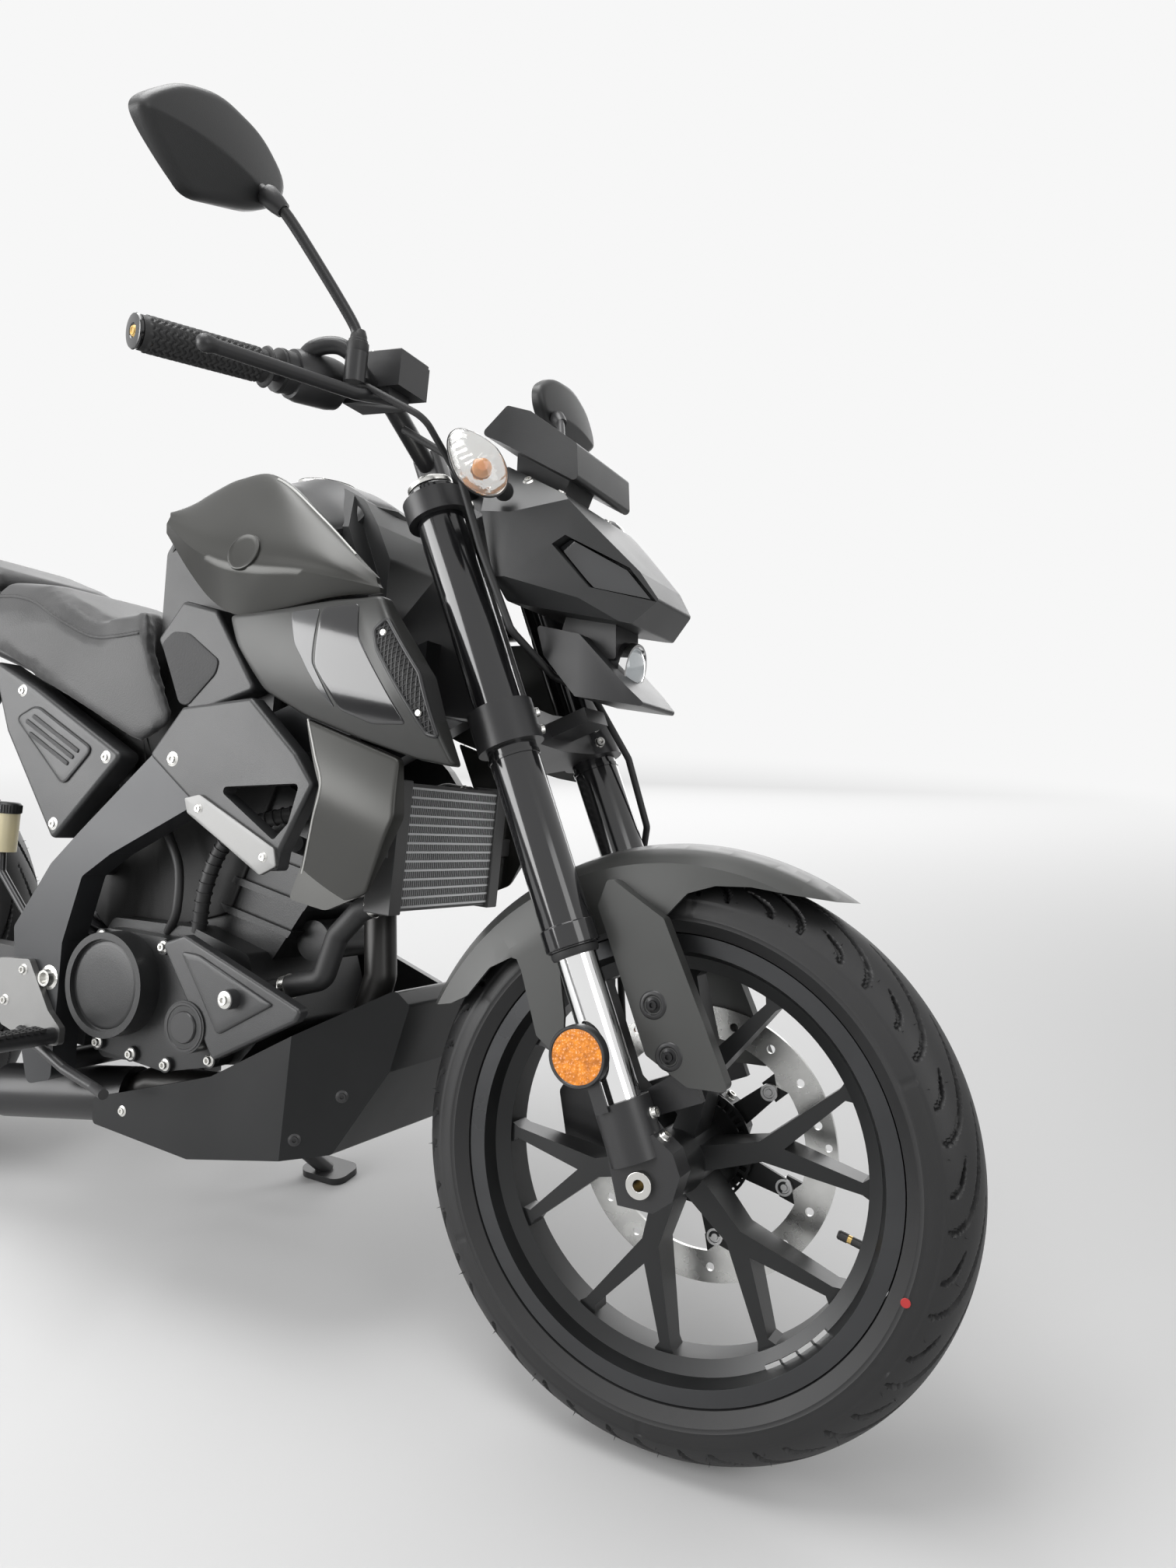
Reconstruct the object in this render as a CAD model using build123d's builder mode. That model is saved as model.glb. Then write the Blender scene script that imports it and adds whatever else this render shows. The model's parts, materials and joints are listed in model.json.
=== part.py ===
from build123d import *
from math import acos, atan2, cos, hypot, radians, sin
import json
import os

# Standard motorcycle, 125 cc class, standing on its side stand.
# Drawn upright in millimetres: X forward, Y to the rider's left, Z up, the
# origin on the ground halfway between the axles. The last section leans it.

# Driving dimensions
WHEELBASE = 1325.0
RAKE = 26.0
TRAIL = 95.0
LEAN = 12.0
FRONT_RADIUS = 296.0
FRONT_CROWN = 52.0
REAR_RADIUS = 314.0
REAR_CROWN = 70.0
RIM_RADIUS = 230.0
FRONT_RIM_HALF = 40.0
REAR_RIM_HALF = 55.0
SPOKES = 6
SPOKE_TURN = 18.0
BUTTONS = 6
AXLE_RADIUS = 7.5
RUN = 0.3
SEAM = 0.2

FORK_SPREAD = 98.0
SLIDER_RADIUS = 20.5
TUBE_RADIUS = 26.0
LUG_RADIUS = 28.0
TUBE_FROM = 229.0
TUBE_TO = 745.0
LOWER_YOKE = 465.0
TOP_YOKE = 720.0
YOKE_CLAMP = 35.0
STEM_RADIUS = 16.0
HEAD_RADIUS = 30.0
STEER_BACK = -116.0
FENDER_GAP = 19.0

FRONT_DISC_RADIUS = 146.0
FRONT_DISC_FACE = 58.0
REAR_DISC_RADIUS = 110.0
REAR_DISC_FACE = 80.0
DISC_THICKNESS = 4.5

TANK_HALF = 92.0
SPAR_INNER = 105.0
SPAR_OUTER = 140.0
PANEL_INNER = 148.0
ENGINE_HALF = 98.0
ARM_INNER = 96.0
ARM_OUTER = 122.0
CHAIN_LINE = 84.0
CHAIN_WIDTH = 14.0
CHAIN_HEIGHT = 14.0
REAR_PITCH_RADIUS = 98.0
FRONT_PITCH_RADIUS = 30.0
BAR_RADIUS = 11.0
GRIP_RADIUS = 16.5

RAKE_SIN = sin(radians(RAKE))
RAKE_COS = cos(radians(RAKE))
STEER_OFFSET = FRONT_RADIUS * RAKE_SIN - TRAIL * RAKE_COS
FRONT_AXLE = (WHEELBASE / 2, 0, FRONT_RADIUS)
REAR_AXLE = (-WHEELBASE / 2, 0, REAR_RADIUS)
PIVOT = (-122.0, 0, 367.0)
OUTPUT_SHAFT = (-62.0, 0, 368.0)

pieces = {}


def piece(name, part):
    """Keeps a finished piece under the name of its node."""
    part.label = name
    pieces[name] = part


def fork_level(up):
    """The level across the fork at a distance up the legs from the axle."""
    middle = (FRONT_AXLE[0] - RAKE_SIN * up, 0, FRONT_AXLE[2] + RAKE_COS * up)
    return Plane(origin=middle, x_dir=(RAKE_COS, 0, RAKE_SIN), z_dir=(-RAKE_SIN, 0, RAKE_COS))


def fork_side(out):
    """The plane along the fork, seen from the right, at a distance from the middle."""
    place = Plane(origin=FRONT_AXLE, x_dir=(RAKE_COS, 0, RAKE_SIN), z_dir=(0, -1, 0))
    return place.offset(out)


def fork_point(ahead, side, up):
    """A point given ahead of the fork legs, to the left, and up from the axle."""
    x = FRONT_AXLE[0] + RAKE_COS * ahead - RAKE_SIN * up
    z = FRONT_AXLE[2] + RAKE_SIN * ahead + RAKE_COS * up
    return (x, side, z)


def wheel_section(axle):
    """The half section of a wheel: across the bike, and out from its axle."""
    return Plane(origin=axle, x_dir=(0, 1, 0), z_dir=(1, 0, 0))


def wheel_side(axle, out=0):
    """The plane of a wheel seen from the right."""
    return Plane(origin=axle, x_dir=(1, 0, 0), z_dir=(0, -1, 0)).offset(out)


def rod(start, end, radius):
    """A straight round bar."""
    with BuildPart() as bar:
        with BuildSketch(Plane(origin=start, z_dir=Vector(end) - Vector(start))):
            Circle(radius)
        extrude(amount=(Vector(end) - Vector(start)).length)
    return bar.part


def tube(points, radius, bend):
    """A round bar bent at each of the points between its ends."""
    with BuildPart() as run:
        with BuildLine() as path:
            FilletPolyline(*points, radius=bend)
        with BuildSketch(Plane(origin=path.line @ 0, z_dir=path.line % 0)):
            Circle(radius)
        sweep()
    return run.part


def side_panel(points, inner, outer, corner, edge):
    """A moulded panel on the right, its outer rim rounded, and its twin on the left."""
    with BuildPart() as panel:
        with BuildSketch(Plane.XZ.offset(inner)):
            with BuildLine():
                FilletPolyline(*points, radius=corner, close=True)
            make_face()
        extrude(amount=outer - inner)
        fillet(panel.faces().sort_by(Axis.Y)[0].edges(), edge)
        mirror(about=Plane.XZ)
    return panel.part


def profile_block(points, half, corner):
    """A body with one side view all the way across."""
    with BuildPart() as body:
        with BuildSketch(Plane.XZ):
            with BuildLine():
                FilletPolyline(*points, radius=corner, close=True)
            make_face()
        extrude(amount=half, both=True)
    return body.part


def plan_block(points, low, high):
    """A body with one plan view between two heights."""
    with BuildPart() as body:
        with BuildSketch(Plane.XY.offset(low)):
            Polygon(*points, align=None)
        extrude(amount=high - low)
    return body.part


def cast_wheel(axle, rim_half, hub_right, hub_left, hub_radius):
    """A cast wheel: a drop-centre rim, forked spokes and a bored hub."""
    rim_foot = RIM_RADIUS - 31
    with BuildPart() as spokes:
        with BuildSketch(wheel_side(axle)):
            with PolarLocations(0, SPOKES, start_angle=SPOKE_TURN):
                right = []
                for reach, angle in ((186, 15.4), (rim_foot, 17.4), (rim_foot, 9.4), (186, 11.8)):
                    right.append((reach * cos(radians(angle)), -reach * sin(radians(angle))))
                left = [(x, -y) for x, y in reversed(right)]
                Polygon((22, -13), (90, -9.5), *right, (114, 0), *left, (90, 9.5), (22, 13), align=None)
        extrude(amount=hub_radius, both=True)
        with BuildSketch(wheel_section(axle)):
            Polygon(
                (-25, 15), (25, 15), (20, 90), (13, rim_foot + 2), (-13, rim_foot + 2), (-20, 90),
                align=None)
        revolve(axis=Axis(axle, (0, 1, 0)), mode=Mode.INTERSECT)
    flange, well = RIM_RADIUS - 17, RIM_RADIUS - 37
    with BuildPart() as wheel:
        with BuildSketch(wheel_section(axle)):
            Polygon(
                (-rim_half, RIM_RADIUS), (-rim_half, flange), (-rim_half + 14, flange - 6),
                (-17, well), (17, well), (rim_half - 14, flange - 6), (rim_half, flange),
                (rim_half, RIM_RADIUS), (rim_half - 4, RIM_RADIUS), (rim_half - 5, flange + 6),
                (rim_half - 18, flange + 4), (14, well + 12), (-14, well + 12),
                (-rim_half + 18, flange + 4), (-rim_half + 5, flange + 6),
                (-rim_half + 4, RIM_RADIUS), align=None)
        revolve(axis=Axis(axle, (0, 1, 0)))
        add(spokes.part)
        with BuildSketch(wheel_section(axle)):
            Polygon(
                (-hub_right, 6), (hub_left, 6), (hub_left, hub_radius - 4), (22, hub_radius),
                (-22, hub_radius), (-hub_right, hub_radius - 6), align=None)
        revolve(axis=Axis(axle, (0, 1, 0)))
        with Locations(Location(axle, (90, 0, 0))):
            Cylinder(AXLE_RADIUS + RUN, 400, mode=Mode.SUBTRACT)
    return wheel.part


def road_tyre(axle, radius, crown, rim_half):
    """A tyre seated between the rim's flanges, with a round crown."""
    shoulder = radius - crown
    with BuildPart() as tyre:
        with BuildSketch(wheel_section(axle)):
            with BuildLine():
                Polyline(
                    (-crown, shoulder), (-rim_half - 1.5, RIM_RADIUS + 1.5),
                    (-rim_half + 4 + RUN, RIM_RADIUS + 0.5), (-rim_half + 5 + RUN, RIM_RADIUS - 11 + RUN),
                    (rim_half - 5 - RUN, RIM_RADIUS - 11 + RUN), (rim_half - 4 - RUN, RIM_RADIUS + 0.5),
                    (rim_half + 1.5, RIM_RADIUS + 1.5), (crown, shoulder))
                ThreePointArc((crown, shoulder), (0, radius), (-crown, shoulder))
            make_face()
        revolve(axis=Axis(axle, (0, 1, 0)))
    return tyre.part


def brake_disc(axle, face, side, outer, inner, holes):
    """A drilled disc on a six-armed carrier; side is 1 for the left, -1 for the right."""
    near = -side * (face - 4)
    button_ring = inner - 16
    with BuildPart() as disc:
        with BuildSketch(wheel_side(axle, near)):
            Circle(button_ring - 42)
            with PolarLocations(0, BUTTONS, start_angle=45):
                Polygon(
                    (20, -15), (button_ring, -9), (button_ring, 9), (20, 15), align=None)
            Circle(22, mode=Mode.SUBTRACT)
        extrude(amount=-side * 4)
        with BuildSketch(wheel_side(axle, -side * face)):
            Circle(outer)
            Circle(inner, mode=Mode.SUBTRACT)
            with PolarLocations(button_ring + 8, BUTTONS, start_angle=45):
                Rectangle(20, 24)
            with PolarLocations((outer + inner) / 2, holes):
                Circle(4.5, mode=Mode.SUBTRACT)
            with PolarLocations(outer - 9, BUTTONS, start_angle=70):
                Circle(4, mode=Mode.SUBTRACT)
        extrude(amount=-side * DISC_THICKNESS)
        with BuildSketch(wheel_side(axle, near - side * 2)):
            with PolarLocations(button_ring, BUTTONS, start_angle=45):
                Circle(9)
        extrude(amount=-side * (DISC_THICKNESS + 3))
    return disc.part


# Front wheel: the cast wheel, its tyre and the single disc on the left.
front_wheel = cast_wheel(FRONT_AXLE, FRONT_RIM_HALF, 56, FRONT_DISC_FACE - 4, 33)
piece("front_wheel", front_wheel)
piece("front_tyre", road_tyre(FRONT_AXLE, FRONT_RADIUS, FRONT_CROWN, FRONT_RIM_HALF))
piece("front_disc", brake_disc(FRONT_AXLE, FRONT_DISC_FACE, 1, FRONT_DISC_RADIUS, 113, 18))

# Rear wheel: a wider cast wheel, its tyre, the disc on the right and the sprocket on the left.
rear_wheel = cast_wheel(REAR_AXLE, REAR_RIM_HALF, REAR_DISC_FACE - 4, CHAIN_LINE - 3, 37)
piece("rear_wheel", rear_wheel)
piece("rear_tyre", road_tyre(REAR_AXLE, REAR_RADIUS, REAR_CROWN, REAR_RIM_HALF))
piece("rear_disc", brake_disc(REAR_AXLE, REAR_DISC_FACE, -1, REAR_DISC_RADIUS, 84, 15))

with BuildPart() as rear_sprocket:
    with BuildSketch(wheel_side(REAR_AXLE, -CHAIN_LINE + 3)):
        Circle(REAR_PITCH_RADIUS - CHAIN_HEIGHT / 2 - 1)
        Circle(20, mode=Mode.SUBTRACT)
        with PolarLocations(62, 6):
            Circle(15, mode=Mode.SUBTRACT)
    extrude(amount=-6)
piece("rear_sprocket", rear_sprocket.part)

with BuildPart() as rear_axle:
    add(rod((REAR_AXLE[0], -138, REAR_AXLE[2]), (REAR_AXLE[0], 138, REAR_AXLE[2]), AXLE_RADIUS))
    for side in (-1, 1):
        start = (REAR_AXLE[0], side * (ARM_OUTER + SEAM), REAR_AXLE[2])
        end = (REAR_AXLE[0], side * 134, REAR_AXLE[2])
        add(rod(start, end, 15))
piece("rear_axle", rear_axle.part)

# Fork: cast lugs at the axle, bright inner legs, outer tubes, the axle and two yokes.
with BuildPart() as fork_lugs:
    with BuildSketch(fork_level(20)):
        with Locations((0, -FORK_SPREAD), (0, FORK_SPREAD)):
            Circle(LUG_RADIUS)
    extrude(amount=57)
    for side in (-1, 1):
        with BuildSketch(fork_side(-side * FORK_SPREAD - 14)):
            Polygon(
                (-30, -13), (3, -28), (26, -22), (41, -3), (41, 19), (28, 40), (-24, 40),
                align=None)
        extrude(amount=28)
        with BuildSketch(fork_side(-side * 71 - 5)):
            Polygon((8, 52), (70, 52), (70, 84), (48, 84), (8, 77), align=None)
        extrude(amount=10)
    with BuildSketch(fork_side(-FORK_SPREAD - 9)):
        Polygon((-104, 34), (-10, 30), (-10, 74), (-104, 74), align=None)
    extrude(amount=12)
    with BuildSketch(fork_level(77)):
        with Locations((0, -FORK_SPREAD), (0, FORK_SPREAD)):
            Circle(SLIDER_RADIUS)
    extrude(amount=-30, mode=Mode.SUBTRACT)
    with Locations(Location(FRONT_AXLE, (90, 0, 0))):
        Cylinder(AXLE_RADIUS + 0.1, 400, mode=Mode.SUBTRACT)
piece("fork_lugs", fork_lugs.part)

with BuildPart() as fork_legs:
    with BuildSketch(fork_level(47)):
        with Locations((0, -FORK_SPREAD), (0, FORK_SPREAD)):
            Circle(SLIDER_RADIUS)
    extrude(amount=TUBE_FROM - 47 - SEAM)
piece("fork_legs", fork_legs.part)

with BuildPart() as fork_tubes:
    with BuildSketch(fork_level(TUBE_FROM)):
        with Locations((0, -FORK_SPREAD), (0, FORK_SPREAD)):
            Circle(TUBE_RADIUS)
    extrude(amount=TUBE_TO - TUBE_FROM)
    with BuildSketch(fork_level(TUBE_FROM + 2)):
        with Locations((0, -FORK_SPREAD), (0, FORK_SPREAD)):
            Circle(TUBE_RADIUS + 2)
    extrude(amount=22)
    up_leg = Axis(FRONT_AXLE, (-RAKE_SIN, 0, RAKE_COS))
    chamfer(fork_tubes.faces().sort_by(up_leg)[-2:].edges(), 3)
piece("fork_tubes", fork_tubes.part)

with BuildPart() as front_axle:
    add(rod((FRONT_AXLE[0], -116, FRONT_AXLE[2]), (FRONT_AXLE[0], 116, FRONT_AXLE[2]), AXLE_RADIUS))
    start = (FRONT_AXLE[0], -FORK_SPREAD - 14 - SEAM, FRONT_AXLE[2])
    end = (FRONT_AXLE[0], -FORK_SPREAD - 20, FRONT_AXLE[2])
    add(rod(start, end, 13))
    bore = (FRONT_AXLE[0], -FORK_SPREAD - 60, FRONT_AXLE[2])
    add(rod(bore, end, 5.5), mode=Mode.SUBTRACT)
    deep = (FRONT_AXLE[0], -FORK_SPREAD + 18, FRONT_AXLE[2])
    add(rod(bore, deep, 5.5), mode=Mode.SUBTRACT)
piece("front_axle", front_axle.part)

with BuildPart() as yokes:
    for level, thick in ((LOWER_YOKE, 44), (TOP_YOKE, 26)):
        with BuildSketch(fork_level(level - thick / 2)):
            with Locations((0, -FORK_SPREAD), (0, FORK_SPREAD)):
                Circle(YOKE_CLAMP)
            with Locations((-STEER_OFFSET, 0)):
                Circle(33)
            Polygon(
                (-20, -FORK_SPREAD), (-STEER_OFFSET - 26, -18), (-STEER_OFFSET - 26, 18),
                (-20, FORK_SPREAD), (22, FORK_SPREAD), (12, 0), (22, -FORK_SPREAD), align=None)
            with Locations((0, -FORK_SPREAD), (0, FORK_SPREAD)):
                Circle(TUBE_RADIUS + 0.1, mode=Mode.SUBTRACT)
        extrude(amount=thick)
    with BuildSketch(fork_level(LOWER_YOKE)):
        with Locations((-STEER_OFFSET, 0)):
            Circle(STEM_RADIUS)
    extrude(amount=TOP_YOKE - LOWER_YOKE + 30)
    with BuildSketch(fork_level(TOP_YOKE - 8)):
        with Locations((38, 0)):
            Rectangle(70, 60)
    extrude(amount=14)
    with BuildSketch(fork_level(LOWER_YOKE - 8)):
        with Locations((30, 0)):
            Rectangle(62, 50)
    extrude(amount=16)
    for side in (-50, 50):
        with BuildSketch(fork_level(TOP_YOKE + 10)):
            with Locations((-15, side)):
                RectangleRounded(34, 26, 8)
        extrude(amount=80)

# Handlebar: one tapered-look steel bar in two risers, grips, end weights and the hand controls.
BAR = [(300, 0, 1006), (300, 60, 1006), (296, 135, 1053), (209, 395, 1026)]


def bar_point(side, across):
    """A point on the straight end of the handlebar, at a distance from the middle."""
    share = (across - BAR[2][1]) / (BAR[3][1] - BAR[2][1])
    x = BAR[2][0] + share * (BAR[3][0] - BAR[2][0])
    z = BAR[2][2] + share * (BAR[3][2] - BAR[2][2])
    return (x, side * across, z)


with BuildPart() as handlebar:
    left_run = [BAR[3], BAR[2], BAR[1]]
    right_run = [(x, -y, z) for x, y, z in reversed(left_run)]
    add(tube(left_run + right_run, BAR_RADIUS, 34))
piece("handlebar", handlebar.part)

with BuildPart() as risers_bored:
    add(yokes.part)
    add(handlebar.part, mode=Mode.SUBTRACT)
piece("yokes", risers_bored.part)

with BuildPart() as grips:
    for side in (-1, 1):
        add(rod(bar_point(side, 272), bar_point(side, 392), GRIP_RADIUS))
        add(rod(bar_point(side, 270), bar_point(side, 276), GRIP_RADIUS + 4))
        add(rod(bar_point(side, 392), bar_point(side, 400), 15))
        add(rod(bar_point(side, 200), bar_point(side, 396), BAR_RADIUS + 0.1), mode=Mode.SUBTRACT)
piece("grips", grips.part)

with BuildPart() as controls:
    for side in (-1, 1):
        add(rod(bar_point(side, 196), bar_point(side, 262), 21))
        middle = bar_point(side, 170)
        with Locations((middle[0] + 22, middle[1], middle[2] - 2)):
            Box(58, 34, 30)
        with Locations((middle[0] + 40, middle[1] - side * 6, middle[2] + 14)):
            Box(46, 50, 34)
        lever = [
            (middle[0] + 44, side * 168, middle[2] - 10),
            (middle[0] + 40, side * 225, middle[2] - 24),
            (middle[0] - 8, side * 375, middle[2] - 32)]
        add(tube(lever, 6.5, 40))
        perch = Vector(middle[0] + 34, side * 222, middle[2])
        add(rod((middle[0] + 26, side * 184, middle[2]), perch + Vector(0, 0, 4), 9))
        add(rod(perch - Vector(0, 0, 12), perch + Vector(0, 0, 18), 11))
    add(handlebar.part, mode=Mode.SUBTRACT)
piece("controls", controls.part)

# Mirrors: kite-shaped heads on bent stems that screw into the lever brackets.
with BuildPart() as mirrors:
    with BuildSketch(Plane(origin=(232, 0, 0), x_dir=(0, 1, 0), z_dir=(1, 0, 0))):
        with BuildLine():
            FilletPolyline(
                (-454, 1196), (-398, 1250), (-318, 1262), (-262, 1222), (-300, 1186), (-372, 1160),
                radius=10, close=True)
        make_face()
    extrude(amount=22, taper=25)
    perch = bar_point(-1, 170)
    foot = (perch[0] + 34, -222, perch[2] + 18 + SEAM)
    add(tube([foot, (foot[0], foot[1], foot[2] + 22), (272, -285, 1180), (244, -300, 1205)], 6, 14))
    mirror(about=Plane.XZ)
piece("mirrors", mirrors.part)

# Front fender: a ridged strip around the tyre, side plates bolted to the fork lugs and rear straps.
def about_wheel(points):
    """Points given from the front axle, ahead and up, in wheel radii."""
    return [(FRONT_AXLE[0] + FRONT_RADIUS * a, FRONT_AXLE[2] + FRONT_RADIUS * b) for a, b in points]


with BuildPart() as front_fender:
    under = FRONT_RADIUS + FENDER_GAP
    skirt = FRONT_RADIUS - 60
    half = FRONT_CROWN + 9
    with BuildSketch(wheel_section(FRONT_AXLE)):
        Polygon(
            (0, under + 5), (36, under - 1), (half - 3, under - 15), (half + 4, under - 47),
            (half + 4, skirt), (half, skirt), (half, under - 47), (half - 7, under - 18),
            (34, under - 6), (0, under), (-34, under - 6), (-half + 7, under - 18),
            (-half, under - 47), (-half, skirt), (-half - 4, skirt), (-half - 4, under - 47),
            (-half + 3, under - 15), (-36, under - 1), align=None)
    revolve(axis=Axis(FRONT_AXLE, (0, 1, 0)))
    outline = [
        (0.535, 0.945), (0.42, 1.17), (0.0, 1.24), (-0.55, 1.1), (-1.03, 0.62), (-1.01, 0.37),
        (-0.873, 0.405), (-0.802, 0.446), (-0.72, 0.56), (-0.62, 0.62), (-0.56, 0.52), (-0.4, 0.62),
        (-0.18, 0.62), (-0.08, 0.82), (0.0, 0.92), (0.09, 0.955), (0.21, 0.966)]
    with BuildSketch(Plane.XZ):
        Polygon(*about_wheel(outline), align=None)
    extrude(amount=90, both=True, mode=Mode.INTERSECT)
    for side in (-1, 1):
        with BuildSketch(fork_side(-side * 72.5 - 8.5)):
            with BuildLine():
                FilletPolyline(
                    (31, 262), (52, 286), (94, 228), (99, 120), (101, 54), (62, 70), (31, 110),
                    radius=6, close=True)
            make_face()
        extrude(amount=17)
        with BuildSketch(fork_side(-side * (half + 2) - 2)):
            with BuildLine():
                FilletPolyline(
                    (-120, 262), (-82, 240), (-88, 160), (-74, 138), (-60, 146), (-50, 170), (-33, 244),
                    radius=6, close=True)
            make_face()
        extrude(amount=4)
    add(fork_lugs.part, mode=Mode.SUBTRACT)
piece("front_fender", front_fender.part)

with BuildPart() as fork_reflectors:
    with BuildSketch(fork_side(LUG_RADIUS + FORK_SPREAD + 1)):
        with Locations((-13, 129)):
            Circle(28)
    extrude(amount=8)
    with BuildSketch(fork_side(LUG_RADIUS + FORK_SPREAD + SEAM)):
        with Locations((-8, 94)):
            Rectangle(14, 44)
    extrude(amount=3)
    mirror(about=Plane.XZ)
piece("fork_reflectors", fork_reflectors.part)

# Front caliper: a two-piston block bridging the disc behind the left leg.
with BuildPart() as front_caliper:
    with BuildSketch(fork_side(-FORK_SPREAD + 3 + SEAM)):
        with BuildLine():
            FilletPolyline(
                (-66, 8), (-66, 92), (-96, 128), (-140, 96), (-152, 30), (-120, 8),
                radius=8, close=True)
        make_face()
    extrude(amount=53)
    slot = (FRONT_AXLE[0], FRONT_DISC_FACE, FRONT_AXLE[2])
    with Locations(Location(slot, (90, 0, 0))):
        Cylinder(FRONT_DISC_RADIUS + 5, 2 * DISC_THICKNESS + 5, mode=Mode.SUBTRACT)
piece("front_caliper", front_caliper.part)

# Headlamp: the angular cowl, the projector unit below it and the slanted position lamps.
COWL = [
    (404, 940), (434, 850), (461, 846), (528, 838), (571, 833), (594, 860), (574, 887), (492, 962),
    (398, 1006), (376, 1000)]
with BuildPart() as headlamp_cowl:
    add(profile_block(COWL, 110, 4))
    plan = [(370, -98), (440, -102), (520, -84), (600, -44), (600, 44), (520, 84), (440, 102), (370, 98)]
    add(plan_block(plan, 800, 1100), mode=Mode.INTERSECT)
    with BuildSketch(Plane.YZ.offset(300)):
        Polygon(
            (-60, 830), (-110, 880), (-110, 930), (-40, 1012), (40, 1012), (110, 930), (110, 880),
            (60, 830), align=None)
    extrude(amount=400, mode=Mode.INTERSECT)
    for side in (-1, 1):
        with BuildSketch(Plane.XZ.offset(-side * 68 - 34)):
            Polygon((487, 908), (500, 918), (564, 890), (592, 858), (529, 866), align=None)
        extrude(amount=68, mode=Mode.SUBTRACT)
    add(risers_bored.part, mode=Mode.SUBTRACT)
piece("headlamp_cowl", headlamp_cowl.part)

with BuildPart() as headlamps:
    beak = [(458, 830), (510, 822), (592, 750), (566, 752), (512, 756), (470, 798)]
    add(profile_block(beak, 54, 3))
    with Locations(Location((524, 0, 797), (0, 96, 0))):
        Cylinder(27, 56)
    add(profile_block([(470, 800), (480, 845), (540, 838), (544, 800)], 30, 3))
    for side in (-1, 1):
        with BuildSketch(Plane.XZ.offset(-side * 54 - 22)):
            Polygon((489, 908), (501, 916), (560, 888), (584, 861), (531, 867), align=None)
        extrude(amount=44)
    plan = [(440, -84), (520, -78), (600, -38), (600, 38), (520, 78), (440, 84)]
    add(plan_block(plan, 700, 1100), mode=Mode.INTERSECT)
    add(headlamp_cowl.part, mode=Mode.SUBTRACT)
    add(risers_bored.part, mode=Mode.SUBTRACT)
piece("headlamps", headlamps.part)

with BuildPart() as instrument:
    visor = [(372, 1036), (402, 1066), (432, 1058), (492, 1020), (498, 978), (398, 1026)]
    add(profile_block(visor, 68, 5))
    add(profile_block([(398, 1030), (400, 1000), (460, 970), (470, 1000)], 30, 3))
    add(headlamp_cowl.part, mode=Mode.SUBTRACT)
piece("instrument", instrument.part)

with BuildPart() as front_indicators:
    with BuildSketch(Plane.XZ.offset(136)):
        with BuildLine():
            FilletPolyline(
                (396, 980), (420, 1000), (460, 972), (466, 948), (434, 944), radius=8, close=True)
        make_face()
    extrude(amount=44, taper=8)
    add(rod((428, -70, 958), (430, -140, 966), 9))
    mirror(about=Plane.XZ)
    add(headlamp_cowl.part, mode=Mode.SUBTRACT)
piece("front_indicators", front_indicators.part)

with BuildPart() as cables:
    hose = [
        (330, -150, 1015), (388, -134, 985), fork_point(42, -112, 650), fork_point(40, -98, 560),
        fork_point(44, -40, 515), fork_point(42, 60, 505), fork_point(44, 98, 430),
        fork_point(32, 116, 350), fork_point(0, 136, 310), fork_point(-36, 118, 275),
        fork_point(-70, 84, 110)]
    add(tube(hose, 4, 12))
    throttle = [(320, -215, 1040), (384, -190, 1010), (392, -118, 960)]
    add(tube(throttle, 3.5, 24))
    add(controls.part, mode=Mode.SUBTRACT)
    add(front_caliper.part, mode=Mode.SUBTRACT)
piece("cables", cables.part)

# Frame: the steering head with its gusset, and two pressed spars that fall to the pivot plates.
HEAD_FOOT = LOWER_YOKE + 22 + RUN
HEAD_TOP = TOP_YOKE - 13 - RUN
with BuildPart() as steering_head:
    with BuildSketch(fork_level(HEAD_FOOT)):
        with Locations((-STEER_OFFSET, 0)):
            Circle(HEAD_RADIUS)
    extrude(amount=HEAD_TOP - HEAD_FOOT)
    with BuildSketch(fork_side(-40)):
        Polygon(
            (-STEER_OFFSET, HEAD_FOOT + 10), (-STEER_OFFSET, HEAD_TOP - 20),
            (-STEER_OFFSET - 90, HEAD_TOP - 60), (-STEER_OFFSET - 90, HEAD_FOOT + 60), align=None)
    extrude(amount=80)
    with BuildSketch(fork_level(HEAD_FOOT - 10)):
        with Locations((-STEER_OFFSET, 0)):
            Circle(STEM_RADIUS + RUN)
    extrude(amount=HEAD_TOP - HEAD_FOOT + 20, mode=Mode.SUBTRACT)
piece("steering_head", steering_head.part)

SPAR = [
    (44, 682), (122, 624), (88, 600), (-40, 528), (-84, 496), (-106, 412), (-101, 246), (-141, 233),
    (-176, 320), (-194, 420), (-140, 505), (-96, 549)]
with BuildPart() as frame_spars:
    with BuildSketch(Plane.XZ.offset(SPAR_INNER)):
        with BuildLine():
            FilletPolyline(*SPAR, radius=10, close=True)
        make_face()
    extrude(amount=SPAR_OUTER - SPAR_INNER)
    with BuildSketch(Plane.YZ.offset(30)):
        with Locations((-(SPAR_INNER + SPAR_OUTER) / 2, 614)):
            Rectangle(SPAR_OUTER - SPAR_INNER - 4, 56)
    with BuildSketch(Plane.YZ.offset(330)):
        with Locations((-53, 770)):
            Rectangle(30, 74)
    loft()
    mirror(about=Plane.XZ)
    add(steering_head.part, mode=Mode.SUBTRACT)
piece("frame_spars", frame_spars.part)

with BuildPart() as frame_cross_tubes:
    add(rod((PIVOT[0], -SPAR_INNER, PIVOT[2]), (PIVOT[0], SPAR_INNER, PIVOT[2]), 17))
    add(rod((-118, -SPAR_INNER, 262), (-118, SPAR_INNER, 262), 14))
    add(rod((-120, -SPAR_INNER, 508), (-120, SPAR_INNER, 508), 16))
piece("frame_cross_tubes", frame_cross_tubes.part)

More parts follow.
